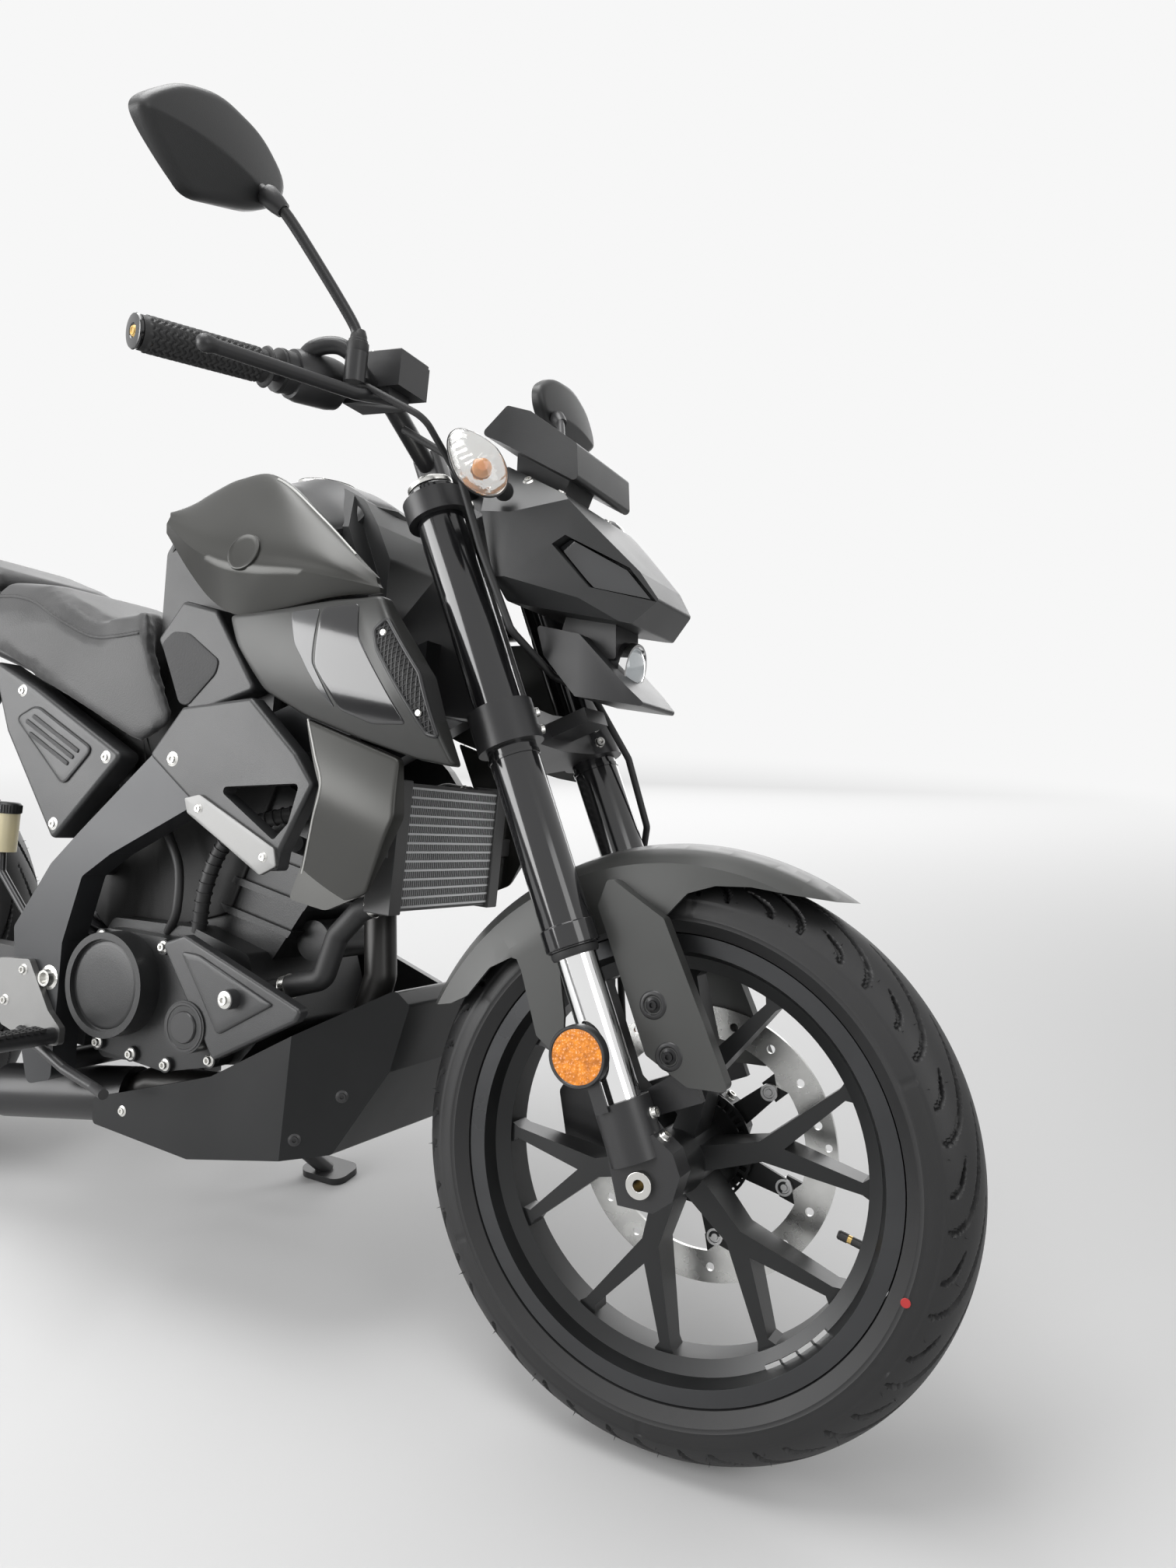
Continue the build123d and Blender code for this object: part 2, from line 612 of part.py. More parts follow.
with BuildPart() as subframe:
    rail = [(-66, -102, 548), (-82, -80, 600), (-104, -80, 642), (-330, -80, 728), (-640, -70, 812)]
    add(tube(rail, 12, 18))
    mirror(about=Plane.XZ)
    add(rod((-330, -80, 728), (-330, 80, 728), 10))
    add(rod((-620, -72, 806), (-620, 72, 806), 10))
    add(frame_spars.part, mode=Mode.SUBTRACT)
piece("subframe", subframe.part)

with BuildPart() as pillion_pegs:
    add(tube([(-339, -86, 717.6), (-345, -128, 640), (-362, -134, 492)], 9, 24))
    add(rod((-362, -134, 492), (-362, -200, 488), 10))
    mirror(about=Plane.XZ)
piece("pillion_pegs", pillion_pegs.part)

# Engine: a single upright cylinder on a crankcase, with the sprocket pocket on the left.
with BuildPart() as engine:
    crankcase = [
        (-96, 304), (-66, 274), (40, 284), (150, 306), (186, 350), (150, 432), (60, 452), (-70, 446),
        (-92, 410)]
    add(profile_block(crankcase, ENGINE_HALF, 14))
    barrel = [(36, 430), (150, 418), (232, 552), (216, 600), (132, 640), (98, 612)]
    add(profile_block(barrel, 62, 8))
    for joint in ((64, 474), (84, 508), (104, 542)):
        rib = [(x + joint[0], z + joint[1]) for x, z in ((0, 0), (114, -20), (119, -12), (5, 8))]
        add(profile_block(rib, 68, 1))
    head_cover = [(112, 628), (222, 588), (232, 612), (206, 640), (146, 662)]
    add(profile_block(head_cover, 50, 8))
    add(rod((196, -44, 452), (196, 48, 452), 24))
    add(rod((186, -60, 560), (192, -88, 566), 10))
    add(rod((108, 0, 600), (48, 0, 646), 24))
    with BuildSketch(Plane.XY.offset(284)):
        with Locations((-102, 0)):
            Rectangle(24, 2 * SPAR_INNER)
    extrude(amount=36)
    with Locations((-86, CHAIN_LINE, 368)):
        Box(124, 2 * (CHAIN_LINE - 68), 100, mode=Mode.SUBTRACT)
    with BuildSketch(wheel_side(OUTPUT_SHAFT, -66)):
        Circle(FRONT_PITCH_RADIUS - CHAIN_HEIGHT / 2 - 0.5)
    extrude(amount=-26)
piece("engine", engine.part)

with BuildPart() as engine_covers:
    with BuildSketch(Plane.XZ.offset(ENGINE_HALF)):
        with BuildLine():
            FilletPolyline(
                (-86, 340), (-50, 290), (60, 284), (140, 306), (158, 352), (120, 420), (40, 438),
                (-60, 436), radius=14, close=True)
        make_face()
    extrude(amount=22)
    with BuildSketch(Plane.XZ.offset(ENGINE_HALF + 22)):
        with Locations((-21, 375)):
            Circle(62)
        with Locations((108, 348)):
            Circle(30)
    extrude(amount=24)
    with BuildSketch(Plane.XZ.offset(ENGINE_HALF + 46)):
        with Locations((-21, 375)):
            Circle(62)
            Circle(54, mode=Mode.SUBTRACT)
    extrude(amount=5)
    bosses = [
        (-76, 344), (-46, 300), (10, 296), (66, 294), (132, 312), (147, 352), (112, 412), (44, 428),
        (-58, 426)]
    with BuildSketch(Plane.XZ.offset(ENGINE_HALF)):
        with Locations(*bosses):
            Circle(9)
    extrude(amount=27)
    with BuildSketch(Plane.XZ.offset(-ENGINE_HALF - 24)):
        with Locations((40, 360)):
            Circle(66)
    extrude(amount=24)
    with BuildSketch(Plane.XZ.offset(-ENGINE_HALF - 30)):
        with Locations((40, 360)):
            Circle(34)
            Circle(26, mode=Mode.SUBTRACT)
    extrude(amount=30)
piece("engine_covers", engine_covers.part)

with BuildPart() as engine_guards:
    guard = [(58, 436), (92, 450), (270, 394), (262, 380), (152, 318)]
    add(side_panel(guard, ENGINE_HALF + 30, 142, 6, 4))
    with Locations((120, -ENGINE_HALF - 15, 402), (120, ENGINE_HALF + 15, 402)):
        Box(30, 30, 20)
    add(engine_covers.part, mode=Mode.SUBTRACT)
    with BuildSketch(Plane.XZ.offset(ENGINE_HALF)):
        with Locations((176, 392)):
            Circle(11)
    extrude(amount=60)
    with BuildSketch(Plane.XZ.offset(ENGINE_HALF)):
        with Locations((176, 392)):
            Circle(6)
    extrude(amount=60, mode=Mode.SUBTRACT)
piece("engine_guards", engine_guards.part)

# Radiator between its shrouds, with the hoses down to the pump.
with BuildPart() as radiator:
    with Locations((331, 0, 578)):
        Box(26, 190, 140)
    with Locations((331, -102, 578), (331, 102, 578)):
        Box(34, 22, 146)
    with Locations((331, 0, 578)):
        Box(16, 2 * PANEL_INNER, 22)
piece("radiator", radiator.part)

with BuildPart() as coolant_hoses:
    lower = [(318, -84, 516), (290, -84, 502), (262, -84, 470), (250, -86, 420), (170, -84, 392)]
    add(tube(lower, 13, 16))
    upper = [(318, 84, 636), (276, 84, 640), (210, 66, 596), (190, 40, 590)]
    add(tube(upper, 13, 16))
    add(engine.part, mode=Mode.SUBTRACT)
    add(radiator.part, mode=Mode.SUBTRACT)
piece("coolant_hoses", coolant_hoses.part)

# Exhaust: one header down the front, a chamber under the engine and a short muffler on the right.
with BuildPart() as exhaust_pipe:
    header = [
        (210, 0, 530), (258, -4, 500), (276, -14, 420), (256, -24, 310), (206, -28, 257),
        (60, -34, 250), (-30, -44, 240), (-58, -50, 224)]
    add(tube(header, 19, 22))
    add(engine.part, mode=Mode.SUBTRACT)
piece("exhaust_pipe", exhaust_pipe.part)

with BuildPart() as muffler:
    add(rod((-50, -50, 222), (-250, -76, 192), 34))
    add(tube([(-240, -76, 190), (-300, -86, 192), (-380, -150, 240)], 24, 30))
    add(rod((-372, -146, 236), (-520, -176, 296), 50))
    add(rod((-520, -176, 296), (-545, -181, 306), 40))
    add(exhaust_pipe.part, mode=Mode.SUBTRACT)
piece("muffler", muffler.part)

with BuildPart() as belly_pan:
    nose = FRONT_AXLE[0] - FRONT_RADIUS - 14.5
    pan = [
        (-37, 236), (141, 296), (250, 362), (nose - 14, 420), (nose, 404), (nose - 12, 330),
        (nose - 56, 236), (119, 198), (-34, 206)]
    hollow = [
        (-60, 244), (150, 330), (250, 420), (nose - 22, 460), (nose - 14, 396), (nose - 26, 330),
        (nose - 64, 244), (119, 206), (-60, 216)]
    add(profile_block(pan, 130, 6))
    plan = [(-60, -130), (250, -130), (nose + 8, -56), (nose + 8, 56), (250, 130), (-60, 130)]
    add(plan_block(plan, 150, 500), mode=Mode.INTERSECT)
    inner_plan = [
        (-70, -120), (248, -120), (nose - 2, -48), (nose - 2, 48), (248, 120), (-70, 120)]
    with BuildPart(mode=Mode.PRIVATE) as cavity:
        add(profile_block(hollow, 130, 4))
        add(plan_block(inner_plan, 150, 500), mode=Mode.INTERSECT)
    add(cavity.part, mode=Mode.SUBTRACT)
piece("belly_pan", belly_pan.part)

# Tank: the black spine, the painted covers, the scoops, wings and knee panels at its sides.
with BuildPart() as fuel_tank:
    spine = [
        (-52, 900), (-30, 936), (70, 984), (150, 1000), (218, 970), (240, 940), (262, 900),
        (262, 830), (180, 790), (20, 772), (-48, 800)]
    add(profile_block(spine, TANK_HALF, 12))
    with BuildSketch(Plane.YZ.offset(-100)):
        Polygon(
            (-TANK_HALF, 700), (-TANK_HALF, 930), (-40, 1004), (40, 1004), (TANK_HALF, 930),
            (TANK_HALF, 700), align=None)
    extrude(amount=500, mode=Mode.INTERSECT)
    with BuildSketch(Plane.XY.offset(985)):
        with Locations((110, 0)):
            Circle(36)
    extrude(amount=22)
    for side in (-1, 1):
        with Locations((120, side * (TANK_HALF - 6), 735)):
            Box(44, 12, 120)
    for side in (-1, 1):
        with BuildSketch(fork_side(-side * 105 - 45)):
            with Locations((STEER_BACK + 100, 600)):
                Rectangle(200, 800)
        extrude(amount=90, mode=Mode.SUBTRACT)
    add(frame_spars.part, mode=Mode.SUBTRACT)
    add(steering_head.part, mode=Mode.SUBTRACT)
piece("fuel_tank", fuel_tank.part)

with BuildPart() as tank_covers:
    cover = [
        (2, 903, 916, 46), (74, 850, 945, 62), (130, 824, 962, 68), (194, 830, 966, 68),
        (262, 838, 902, 67), (320, 842, 850, 65)]
    for x, low, high, proud in cover:
        out = TANK_HALF + proud
        with BuildSketch(Plane.YZ.offset(x)):
            tall = high - low
            Polygon(
                (-TANK_HALF - SEAM, low), (-out + 4, low), (-out, low + 0.36 * tall),
                (-out + 12, low + 0.62 * tall), (-out + 42, high), (-TANK_HALF - SEAM, high),
                align=None)
    loft(ruled=True)
    with BuildSketch(fork_side(60)):
        with Locations((STEER_BACK + 100, 600)):
            Rectangle(200, 800)
    extrude(amount=PANEL_INNER - 60, mode=Mode.SUBTRACT)
    mirror(about=Plane.XZ)
piece("tank_covers", tank_covers.part)

SCOOP = [(140, 824.6), (194, 829.7), (262, 837.7), (338, 841), (446, 668), (336, 684), (214, 730)]
piece("air_scoops", side_panel(SCOOP, PANEL_INNER, 178, 6, 6))
WING = [(258, 702), (388, 630), (368, 580), (318, 507), (242, 508), (284, 634)]
piece("radiator_shrouds", side_panel(WING, PANEL_INNER + SEAM, 172, 6, 5))
KNEE = [(10, 838), (66, 828), (138, 736), (40, 700), (-26, 790)]
piece("knee_panels", side_panel(KNEE, TANK_HALF + SEAM, 118, 8, 6))
COVER = [
    (26, 650), (70, 708), (170, 724), (240, 668), (268, 636), (232, 560), (230, 540), (202, 536),
    (96, 604)]
with BuildPart() as frame_covers:
    add(side_panel(COVER, SPAR_OUTER + SEAM, 160, 6, 5))
    with BuildSketch(Plane.XZ):
        with BuildLine():
            FilletPolyline((134, 622), (250, 636), (240, 592), (222, 572), radius=5, close=True)
        make_face()
    extrude(amount=200, both=True, mode=Mode.SUBTRACT)
piece("frame_covers", frame_covers.part)

# Seat and tail: the rider's seat, the pillion pad, the panels below them and the tail end.
SEAT = [(-338, 862), (-250, 856), (-140, 812), (-56, 824), (4, 690), (-46, 662), (-322, 772)]
with BuildPart() as seat:
    add(profile_block(SEAT, 140, 8))
    plan = [(20, -108), (-140, -118), (-350, -134), (-350, 134), (-140, 118), (20, 108)]
    add(plan_block(plan, 600, 900), mode=Mode.INTERSECT)
    with BuildSketch(Plane.YZ.offset(-400)):
        Polygon(
            (-140, 600), (-140, 800), (-96, 866), (96, 866), (140, 800), (140, 600), align=None)
    extrude(amount=500, mode=Mode.INTERSECT)
    tunnel = [(-54, 1000), (-54, 736), (-360, 778), (-360, 600), (60, 600), (60, 1000)]
    add(profile_block(tunnel, 96, 1), mode=Mode.SUBTRACT)
piece("seat", seat.part)

with BuildPart() as pillion_seat:
    pad = [(-336.4, 847.4), (-340, 872), (-450, 902), (-560, 922), (-640, 930), (-662.6, 912.4)]
    add(profile_block(pad, 110, 5))
    plan = [(-340, -104), (-560, -92), (-670, -64), (-670, 64), (-560, 92), (-340, 104)]
    add(plan_block(plan, 800, 1000), mode=Mode.INTERSECT)
piece("pillion_seat", pillion_seat.part)

SIDE = [(-316, 758), (-228, 724), (-58, 646), (-164, 530), (-270, 662)]
piece("side_covers", side_panel(SIDE, 92 + RUN, 124, 8, 6))

with BuildPart() as tail_cowl:
    tail = [
        (-322.4, 772), (-335.8, 847), (-663, 912), (-664, 930), (-742, 930), (-766, 905), (-700, 856),
        (-480, 800)]
    add(profile_block(tail, 126, 3))
    plan = [
        (-320, -126), (-480, -116), (-700, -70), (-770, -46), (-770, 46), (-700, 70), (-480, 116),
        (-320, 126)]
    add(plan_block(plan, 700, 1000), mode=Mode.INTERSECT)
    add(subframe.part, mode=Mode.SUBTRACT)
    add(pillion_pegs.part, mode=Mode.SUBTRACT)
    add(pillion_seat.part, mode=Mode.SUBTRACT)
piece("tail_cowl", tail_cowl.part)

with BuildPart() as rear_mudguard:
    hanger = [
        (-600, 828), (-700, 855), (-752, 880), (-800, 800), (-944, 640), (-985, 560), (-1001, 470),
        (-990, 468), (-974, 556), (-930, 626), (-786, 772), (-716, 820), (-640, 804)]
    add(profile_block(hanger, 40, 3))
    with BuildSketch(Plane.YZ.offset(-1001)):
        with Locations((0, 525)):
            RectangleRounded(150, 110, 10)
    extrude(amount=6)
    add(tail_cowl.part, mode=Mode.SUBTRACT)
    add(subframe.part, mode=Mode.SUBTRACT)
piece("rear_mudguard", rear_mudguard.part)

with BuildPart() as rear_lamps:
    add(profile_block([(-742, 924), (-772, 905), (-768, 886), (-740, 896)], 42, 3))
    for side in (-1, 1):
        add(rod((-852, side * 30, 728), (-852, side * 90, 732), 8))
        with BuildSketch(Plane.XZ.offset(-side * 106 - 24)):
            with BuildLine():
                FilletPolyline(
                    (-822, 744), (-840, 756), (-886, 740), (-884, 714), (-850, 708),
                    radius=7, close=True)
            make_face()
        extrude(amount=48)
    add(tail_cowl.part, mode=Mode.SUBTRACT)
    add(rear_mudguard.part, mode=Mode.SUBTRACT)
piece("rear_lamps", rear_lamps.part)

# Rear suspension and drive: swingarm, shock, chain, brake and footrests.
with BuildPart() as swingarm:
    arm = [
        (-140, 392), (-122, 396), (-98, 367), (-122, 344), (-150, 340), (-330, 318), (-640, 286),
        (-692, 294), (-692, 336), (-640, 346), (-330, 388)]
    for side in (-1, 1):
        with BuildSketch(Plane.XZ.offset(-side * (ARM_INNER + ARM_OUTER) / 2 - 13)):
            Polygon(*arm, align=None)
        extrude(amount=ARM_OUTER - ARM_INNER)
    with Locations((-250, 0, 352)):
        Box(110, 2 * ARM_INNER + 10, 54)
    add(rod((PIVOT[0], -100, PIVOT[2]), (PIVOT[0], 100, PIVOT[2]), 21))
    add(rod((PIVOT[0], -130, PIVOT[2]), (PIVOT[0], 130, PIVOT[2]), 17.1), mode=Mode.SUBTRACT)
    add(frame_spars.part, mode=Mode.SUBTRACT)
    with Locations(Location(REAR_AXLE, (90, 0, 0))):
        Cylinder(AXLE_RADIUS + 0.1, 400, mode=Mode.SUBTRACT)
    for side in (-1, 1):
        with Locations(Location((-628, side * (ARM_OUTER - 8), 318), (90, 0, 0))):
            Cylinder(4, 18, mode=Mode.SUBTRACT)
piece("swingarm", swingarm.part)

with BuildPart() as rear_shock:
    add(rod((-238, 0, 379), (-160, 0, 470), 14))
    add(rod((-226, 0, 393), (-172, 0, 456), 30))
    add(frame_cross_tubes.part, mode=Mode.SUBTRACT)
    add(swingarm.part, mode=Mode.SUBTRACT)
piece("rear_shock", rear_shock.part)

with BuildPart() as drive_chain:
    gap = hypot(OUTPUT_SHAFT[0] - REAR_AXLE[0], OUTPUT_SHAFT[2] - REAR_AXLE[2])
    tilt = atan2(OUTPUT_SHAFT[2] - REAR_AXLE[2], OUTPUT_SHAFT[0] - REAR_AXLE[0])
    wrap = acos((REAR_PITCH_RADIUS - FRONT_PITCH_RADIUS) / gap)
    with BuildSketch(wheel_side(REAR_AXLE, -CHAIN_LINE + CHAIN_WIDTH / 2)):
        for grow, mode in ((CHAIN_HEIGHT / 2, Mode.ADD), (-CHAIN_HEIGHT / 2, Mode.SUBTRACT)):
            big = REAR_PITCH_RADIUS + grow
            small = FRONT_PITCH_RADIUS + grow
            front = (gap * cos(tilt), gap * sin(tilt))
            with BuildLine():
                top_rear = (big * cos(tilt + wrap), big * sin(tilt + wrap))
                low_rear = (big * cos(tilt - wrap), big * sin(tilt - wrap))
                top_front = (
                    front[0] + small * cos(tilt + wrap), front[1] + small * sin(tilt + wrap))
                low_front = (
                    front[0] + small * cos(tilt - wrap), front[1] + small * sin(tilt - wrap))
                tip = (front[0] + small * cos(tilt), front[1] + small * sin(tilt))
                back = (-big * cos(tilt), -big * sin(tilt))
                Line(top_rear, top_front)
                ThreePointArc(top_front, tip, low_front)
                Line(low_front, low_rear)
                ThreePointArc(low_rear, back, top_rear)
            make_face(mode=mode)
    extrude(amount=-CHAIN_WIDTH)
piece("drive_chain", drive_chain.part)

with BuildPart() as rear_brake:
    with BuildSketch(wheel_side(REAR_AXLE, 60)):
        with BuildLine():
            FilletPolyline((40, 34), (118, 34), (126, 84), (70, 118), (34, 80), radius=6, close=True)
        make_face()
    extrude(amount=ARM_INNER - 60 - SEAM)
    slot = (REAR_AXLE[0], -REAR_DISC_FACE, REAR_AXLE[2])
    with Locations(Location(slot, (90, 0, 0))):
        Cylinder(REAR_DISC_RADIUS + 5, 2 * DISC_THICKNESS + 5, mode=Mode.SUBTRACT)
    add(rod((-268, -112, 506), (-268, -112, 556), 17))
    add(tube([(-268, -112, 510), (-262, -114, 480), (-180, -120, 415)], 5, 10))
    add(frame_spars.part, mode=Mode.SUBTRACT)
piece("rear_brake", rear_brake.part)

with BuildPart() as footrests:
    plate = [(-206, 380), (-150, 386), (-108, 330), (-84, 312), (-84, 292), (-120, 284), (-190, 300)]
    with BuildSketch(Plane.XZ.offset(SPAR_OUTER + SEAM)):
        with BuildLine():
            FilletPolyline(*plate, radius=6, close=True)
        make_face()
    extrude(amount=8)
    add(rod((-96, -SPAR_OUTER - 6, 302), (-96, -238, 302), 10))
    add(tube([(-150, -152, 300), (-60, -156, 270), (0, -164, 262), (30, -176, 262)], 6, 14))
    mirror(about=Plane.XZ)
piece("footrests", footrests.part)

# Side stand: a steel leg on a slanted pivot under the left pivot plate, with a flat foot.
STAND_PIVOT = Vector(-98, 118, 214)
STAND_AXIS = Vector(-0.076, 0.9, 0.4).normalized()
FOOT_X = 20.0
FOOT_OUT = 270.0
SETTLE = (FRONT_CROWN + REAR_CROWN) / 2 * (1 - cos(radians(LEAN)))
FOOT_UP = (FOOT_OUT * sin(radians(LEAN)) - SETTLE) / cos(radians(LEAN))
with BuildPart() as stand_bracket:
    with Locations((-112, 84, 226)):
        Box(40, 20, 46)
    add(rod(STAND_PIVOT - STAND_AXIS * 36, STAND_PIVOT + STAND_AXIS * 15, 6))
    add(rod(STAND_PIVOT + STAND_AXIS * 15, STAND_PIVOT + STAND_AXIS * 20, 8))
    add(frame_cross_tubes.part, mode=Mode.SUBTRACT)
piece("stand_bracket", stand_bracket.part)

with BuildPart() as side_stand:
    add(rod(STAND_PIVOT, (FOOT_X, FOOT_OUT - 5, FOOT_UP + 6), 11))
    add(rod(STAND_PIVOT - STAND_AXIS * 13, STAND_PIVOT + STAND_AXIS * 13, 15))
    floor_up = (0, -sin(radians(LEAN)), cos(radians(LEAN)))
    with BuildSketch(Plane(origin=(FOOT_X, FOOT_OUT, FOOT_UP), x_dir=(1, 0, 0), z_dir=floor_up)):
        RectangleRounded(76, 54, 18)
    extrude(amount=10)
    add(rod(STAND_PIVOT - STAND_AXIS * 40, STAND_PIVOT + STAND_AXIS * 40, 6 + RUN), mode=Mode.SUBTRACT)
    with BuildSketch(Plane(origin=(FOOT_X, FOOT_OUT, FOOT_UP), x_dir=(1, 0, 0), z_dir=floor_up)):
        Rectangle(200, 200)
    extrude(amount=-60, mode=Mode.SUBTRACT)
piece("side_stand", side_stand.part)

# Stance: the whole bike leans onto its stand and is set down with its box centred.
lean = Location((0, 0, 0), (-LEAN, 0, 0))
leaned = {name: part.moved(lean) for name, part in pieces.items()}
boxes = [part.bounding_box() for part in leaned.values()]
shift = Vector(
    -(min(box.min.X for box in boxes) + max(box.max.X for box in boxes)) / 2,
    -(min(box.min.Y for box in boxes) + max(box.max.Y for box in boxes)) / 2,
    -min(box.min.Z for box in boxes))
stance = Location(shift) * lean


def stand_point(point):
    """A point of the upright drawing where it stands on the floor."""
    return list(round(v, 3) for v in (stance * Location(point)).position)


def stand_turn(direction):
    """A direction of the upright drawing as it stands on the floor."""
    return list(round(v, 6) for v in (lean * Location(direction)).position)


os.makedirs("parts", exist_ok=True)
for name, part in leaned.items():
    standing = part.moved(Location(shift))
    standing.label = name
    export_step(standing, "parts/" + name + ".step")

places = {
    "front_axle": [stand_point(FRONT_AXLE), stand_turn((0, 1, 0))],
    "rear_axle": [stand_point(REAR_AXLE), stand_turn((0, 1, 0))],
    "steering": [
        stand_point(fork_point(-STEER_OFFSET, 0, HEAD_FOOT)), stand_turn((-RAKE_SIN, 0, RAKE_COS))],
    "side_stand": [stand_point(STAND_PIVOT), stand_turn(tuple(STAND_AXIS))],
    "bobbin_right": [stand_point((-628, -ARM_OUTER, 318)), stand_turn((0, -1, 0))],
    "bobbin_left": [stand_point((-628, ARM_OUTER, 318)), stand_turn((0, 1, 0))],
    "axle_bore": [
        stand_point((FRONT_AXLE[0], -FORK_SPREAD - 20, FRONT_AXLE[2])), stand_turn((0, -1, 0))],
    "slider": [stand_point((176, -ENGINE_HALF - 60, 392)), stand_turn((0, -1, 0))],
}
print(json.dumps(places))
low = [min(getattr(box.min, axis) for box in boxes) for axis in "XYZ"]
high = [max(getattr(box.max, axis) for box in boxes) for axis in "XYZ"]
print("size", [round(b - a, 1) for a, b in zip(low, high)], "lowest", round(low[2], 2))
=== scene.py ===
import json
from math import atan2, cos, hypot, pi, radians, sin

import bmesh
import bpy
import numpy as np
from mathutils import Matrix, Vector
from mathutils.bvhtree import BVHTree


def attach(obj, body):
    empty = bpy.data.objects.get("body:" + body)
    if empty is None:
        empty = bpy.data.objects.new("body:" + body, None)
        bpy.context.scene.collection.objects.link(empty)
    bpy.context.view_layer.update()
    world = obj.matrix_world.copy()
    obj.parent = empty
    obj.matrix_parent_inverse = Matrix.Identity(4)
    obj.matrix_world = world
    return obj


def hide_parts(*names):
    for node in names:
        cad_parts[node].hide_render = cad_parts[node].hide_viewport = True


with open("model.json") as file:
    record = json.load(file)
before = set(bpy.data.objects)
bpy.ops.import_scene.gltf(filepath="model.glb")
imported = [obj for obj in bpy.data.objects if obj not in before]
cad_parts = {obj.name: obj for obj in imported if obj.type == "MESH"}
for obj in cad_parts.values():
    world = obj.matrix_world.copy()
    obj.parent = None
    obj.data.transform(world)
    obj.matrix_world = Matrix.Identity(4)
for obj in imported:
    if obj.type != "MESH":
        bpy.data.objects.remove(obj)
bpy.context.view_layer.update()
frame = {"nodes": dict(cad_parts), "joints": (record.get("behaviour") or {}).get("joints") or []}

scene = bpy.context.scene

# Stance: the bike is drawn upright, from the ground halfway between its axles, and leans
# onto its side stand. The rear wheel's joint gives the lean and the place on the floor.
REAR_AXLE = Vector((-0.6625, 0.0, 0.314))
FRONT_AXLE = Vector((0.6625, 0.0, 0.296))
RAKE = radians(26)
rear_joint = next(j for j in frame["joints"] if j["name"] == "rear_wheel_spin")
lean = Matrix.Rotation(atan2(rear_joint["axis"][2], rear_joint["axis"][1]), 4, "X")
shift = Vector(rear_joint["pos_m"]) - lean @ REAR_AXLE
STAND = Matrix.Translation(shift) @ lean
UPRIGHT = STAND.inverted()


# Studio: a pale floor that fades to white, soft boxes above and beside the bike, and a dim
# surround. The broad box behind the bike's right flank gives its satin panels their sheen.
def add_node(tree, kind, values=None, feeds=None, **settings):
    """A node in a tree, with its settings, its constants and the sockets that feed it."""
    made = tree.nodes.new(kind)
    for key, value in settings.items():
        setattr(made, key, value)
    for key, value in (values or {}).items():
        made.inputs[key].default_value = value
    for key, socket in (feeds or {}).items():
        tree.links.new(socket, made.inputs[key])
    return made


FLOOR_COLOUR = (0.62, 0.62, 0.62, 1)
FADE_FROM, FADE_TO = 1.5, 4.5
SURROUND, BACKDROP = 0.34, 0.93
SOFT_BOXES = (
    ("overhead", (-0.1, -0.3, 3.0), (0.1, -0.2, 0.5), 2.2, 1.4, 62),
    ("right_flank", (-2.1, -2.5, 1.5), (0.1, -0.2, 0.6), 2.6, 2.0, 105),
    ("front", (3.0, -1.2, 1.7), (0.3, -0.2, 0.6), 1.2, 1.6, 16),
    ("left_flank", (-1.0, 3.0, 1.4), (0.0, 0.0, 0.7), 4.4, 2.4, 70),
)
scene.view_settings.view_transform = "Standard"
surround = bpy.data.worlds.new("surround")
surround.use_nodes = True
scene.world = surround
sky = surround.node_tree
rays = add_node(sky, "ShaderNodeLightPath").outputs
seen_or_glossy = add_node(sky, "ShaderNodeMath", feeds={
    0: rays["Is Camera Ray"], 1: rays["Is Glossy Ray"]}, operation="MAXIMUM")
seen_any = add_node(sky, "ShaderNodeMath", feeds={
    0: seen_or_glossy.outputs[0], 1: rays["Is Transmission Ray"]}, operation="MAXIMUM")
level = add_node(sky, "ShaderNodeMapRange", {"To Min": SURROUND, "To Max": BACKDROP}, {
    "Value": seen_any.outputs[0]})
sky.nodes["Background"].inputs["Color"].default_value = (1, 1, 1, 1)
sky.links.new(level.outputs["Result"], sky.nodes["Background"].inputs["Strength"])

floor_mesh = bpy.data.meshes.new("studio_floor")
floor_mesh.from_pydata([(-30, -30, 0), (30, -30, 0), (30, 30, 0), (-30, 30, 0)], [], [(0, 1, 2, 3)])
studio_floor = bpy.data.objects.new("studio_floor", floor_mesh)
scene.collection.objects.link(studio_floor)
floor_paint = bpy.data.materials.new("floor_paint")
floor_paint.use_nodes = True
paint = floor_paint.node_tree
matt = paint.nodes["Principled BSDF"]
matt.inputs["Base Color"].default_value = FLOOR_COLOUR
matt.inputs["Roughness"].default_value = 0.85
white = add_node(paint, "ShaderNodeEmission", {"Strength": BACKDROP})
floor_place = add_node(paint, "ShaderNodeTexCoord").outputs["Object"]
away = add_node(paint, "ShaderNodeVectorMath", feeds={0: floor_place}, operation="LENGTH")
fade = add_node(paint, "ShaderNodeMapRange", {"From Min": FADE_FROM, "From Max": FADE_TO}, {
    "Value": away.outputs["Value"]}, interpolation_type="SMOOTHSTEP")
floor_seen = add_node(paint, "ShaderNodeLightPath").outputs["Is Camera Ray"]
only_seen = add_node(paint, "ShaderNodeMath", feeds={
    0: fade.outputs["Result"], 1: floor_seen}, operation="MULTIPLY")
floor_mix = add_node(paint, "ShaderNodeMixShader", feeds={
    "Fac": only_seen.outputs[0], 1: matt.outputs["BSDF"], 2: white.outputs["Emission"]})
paint.links.new(floor_mix.outputs["Shader"], paint.nodes["Material Output"].inputs["Surface"])
floor_mesh.materials.append(floor_paint)

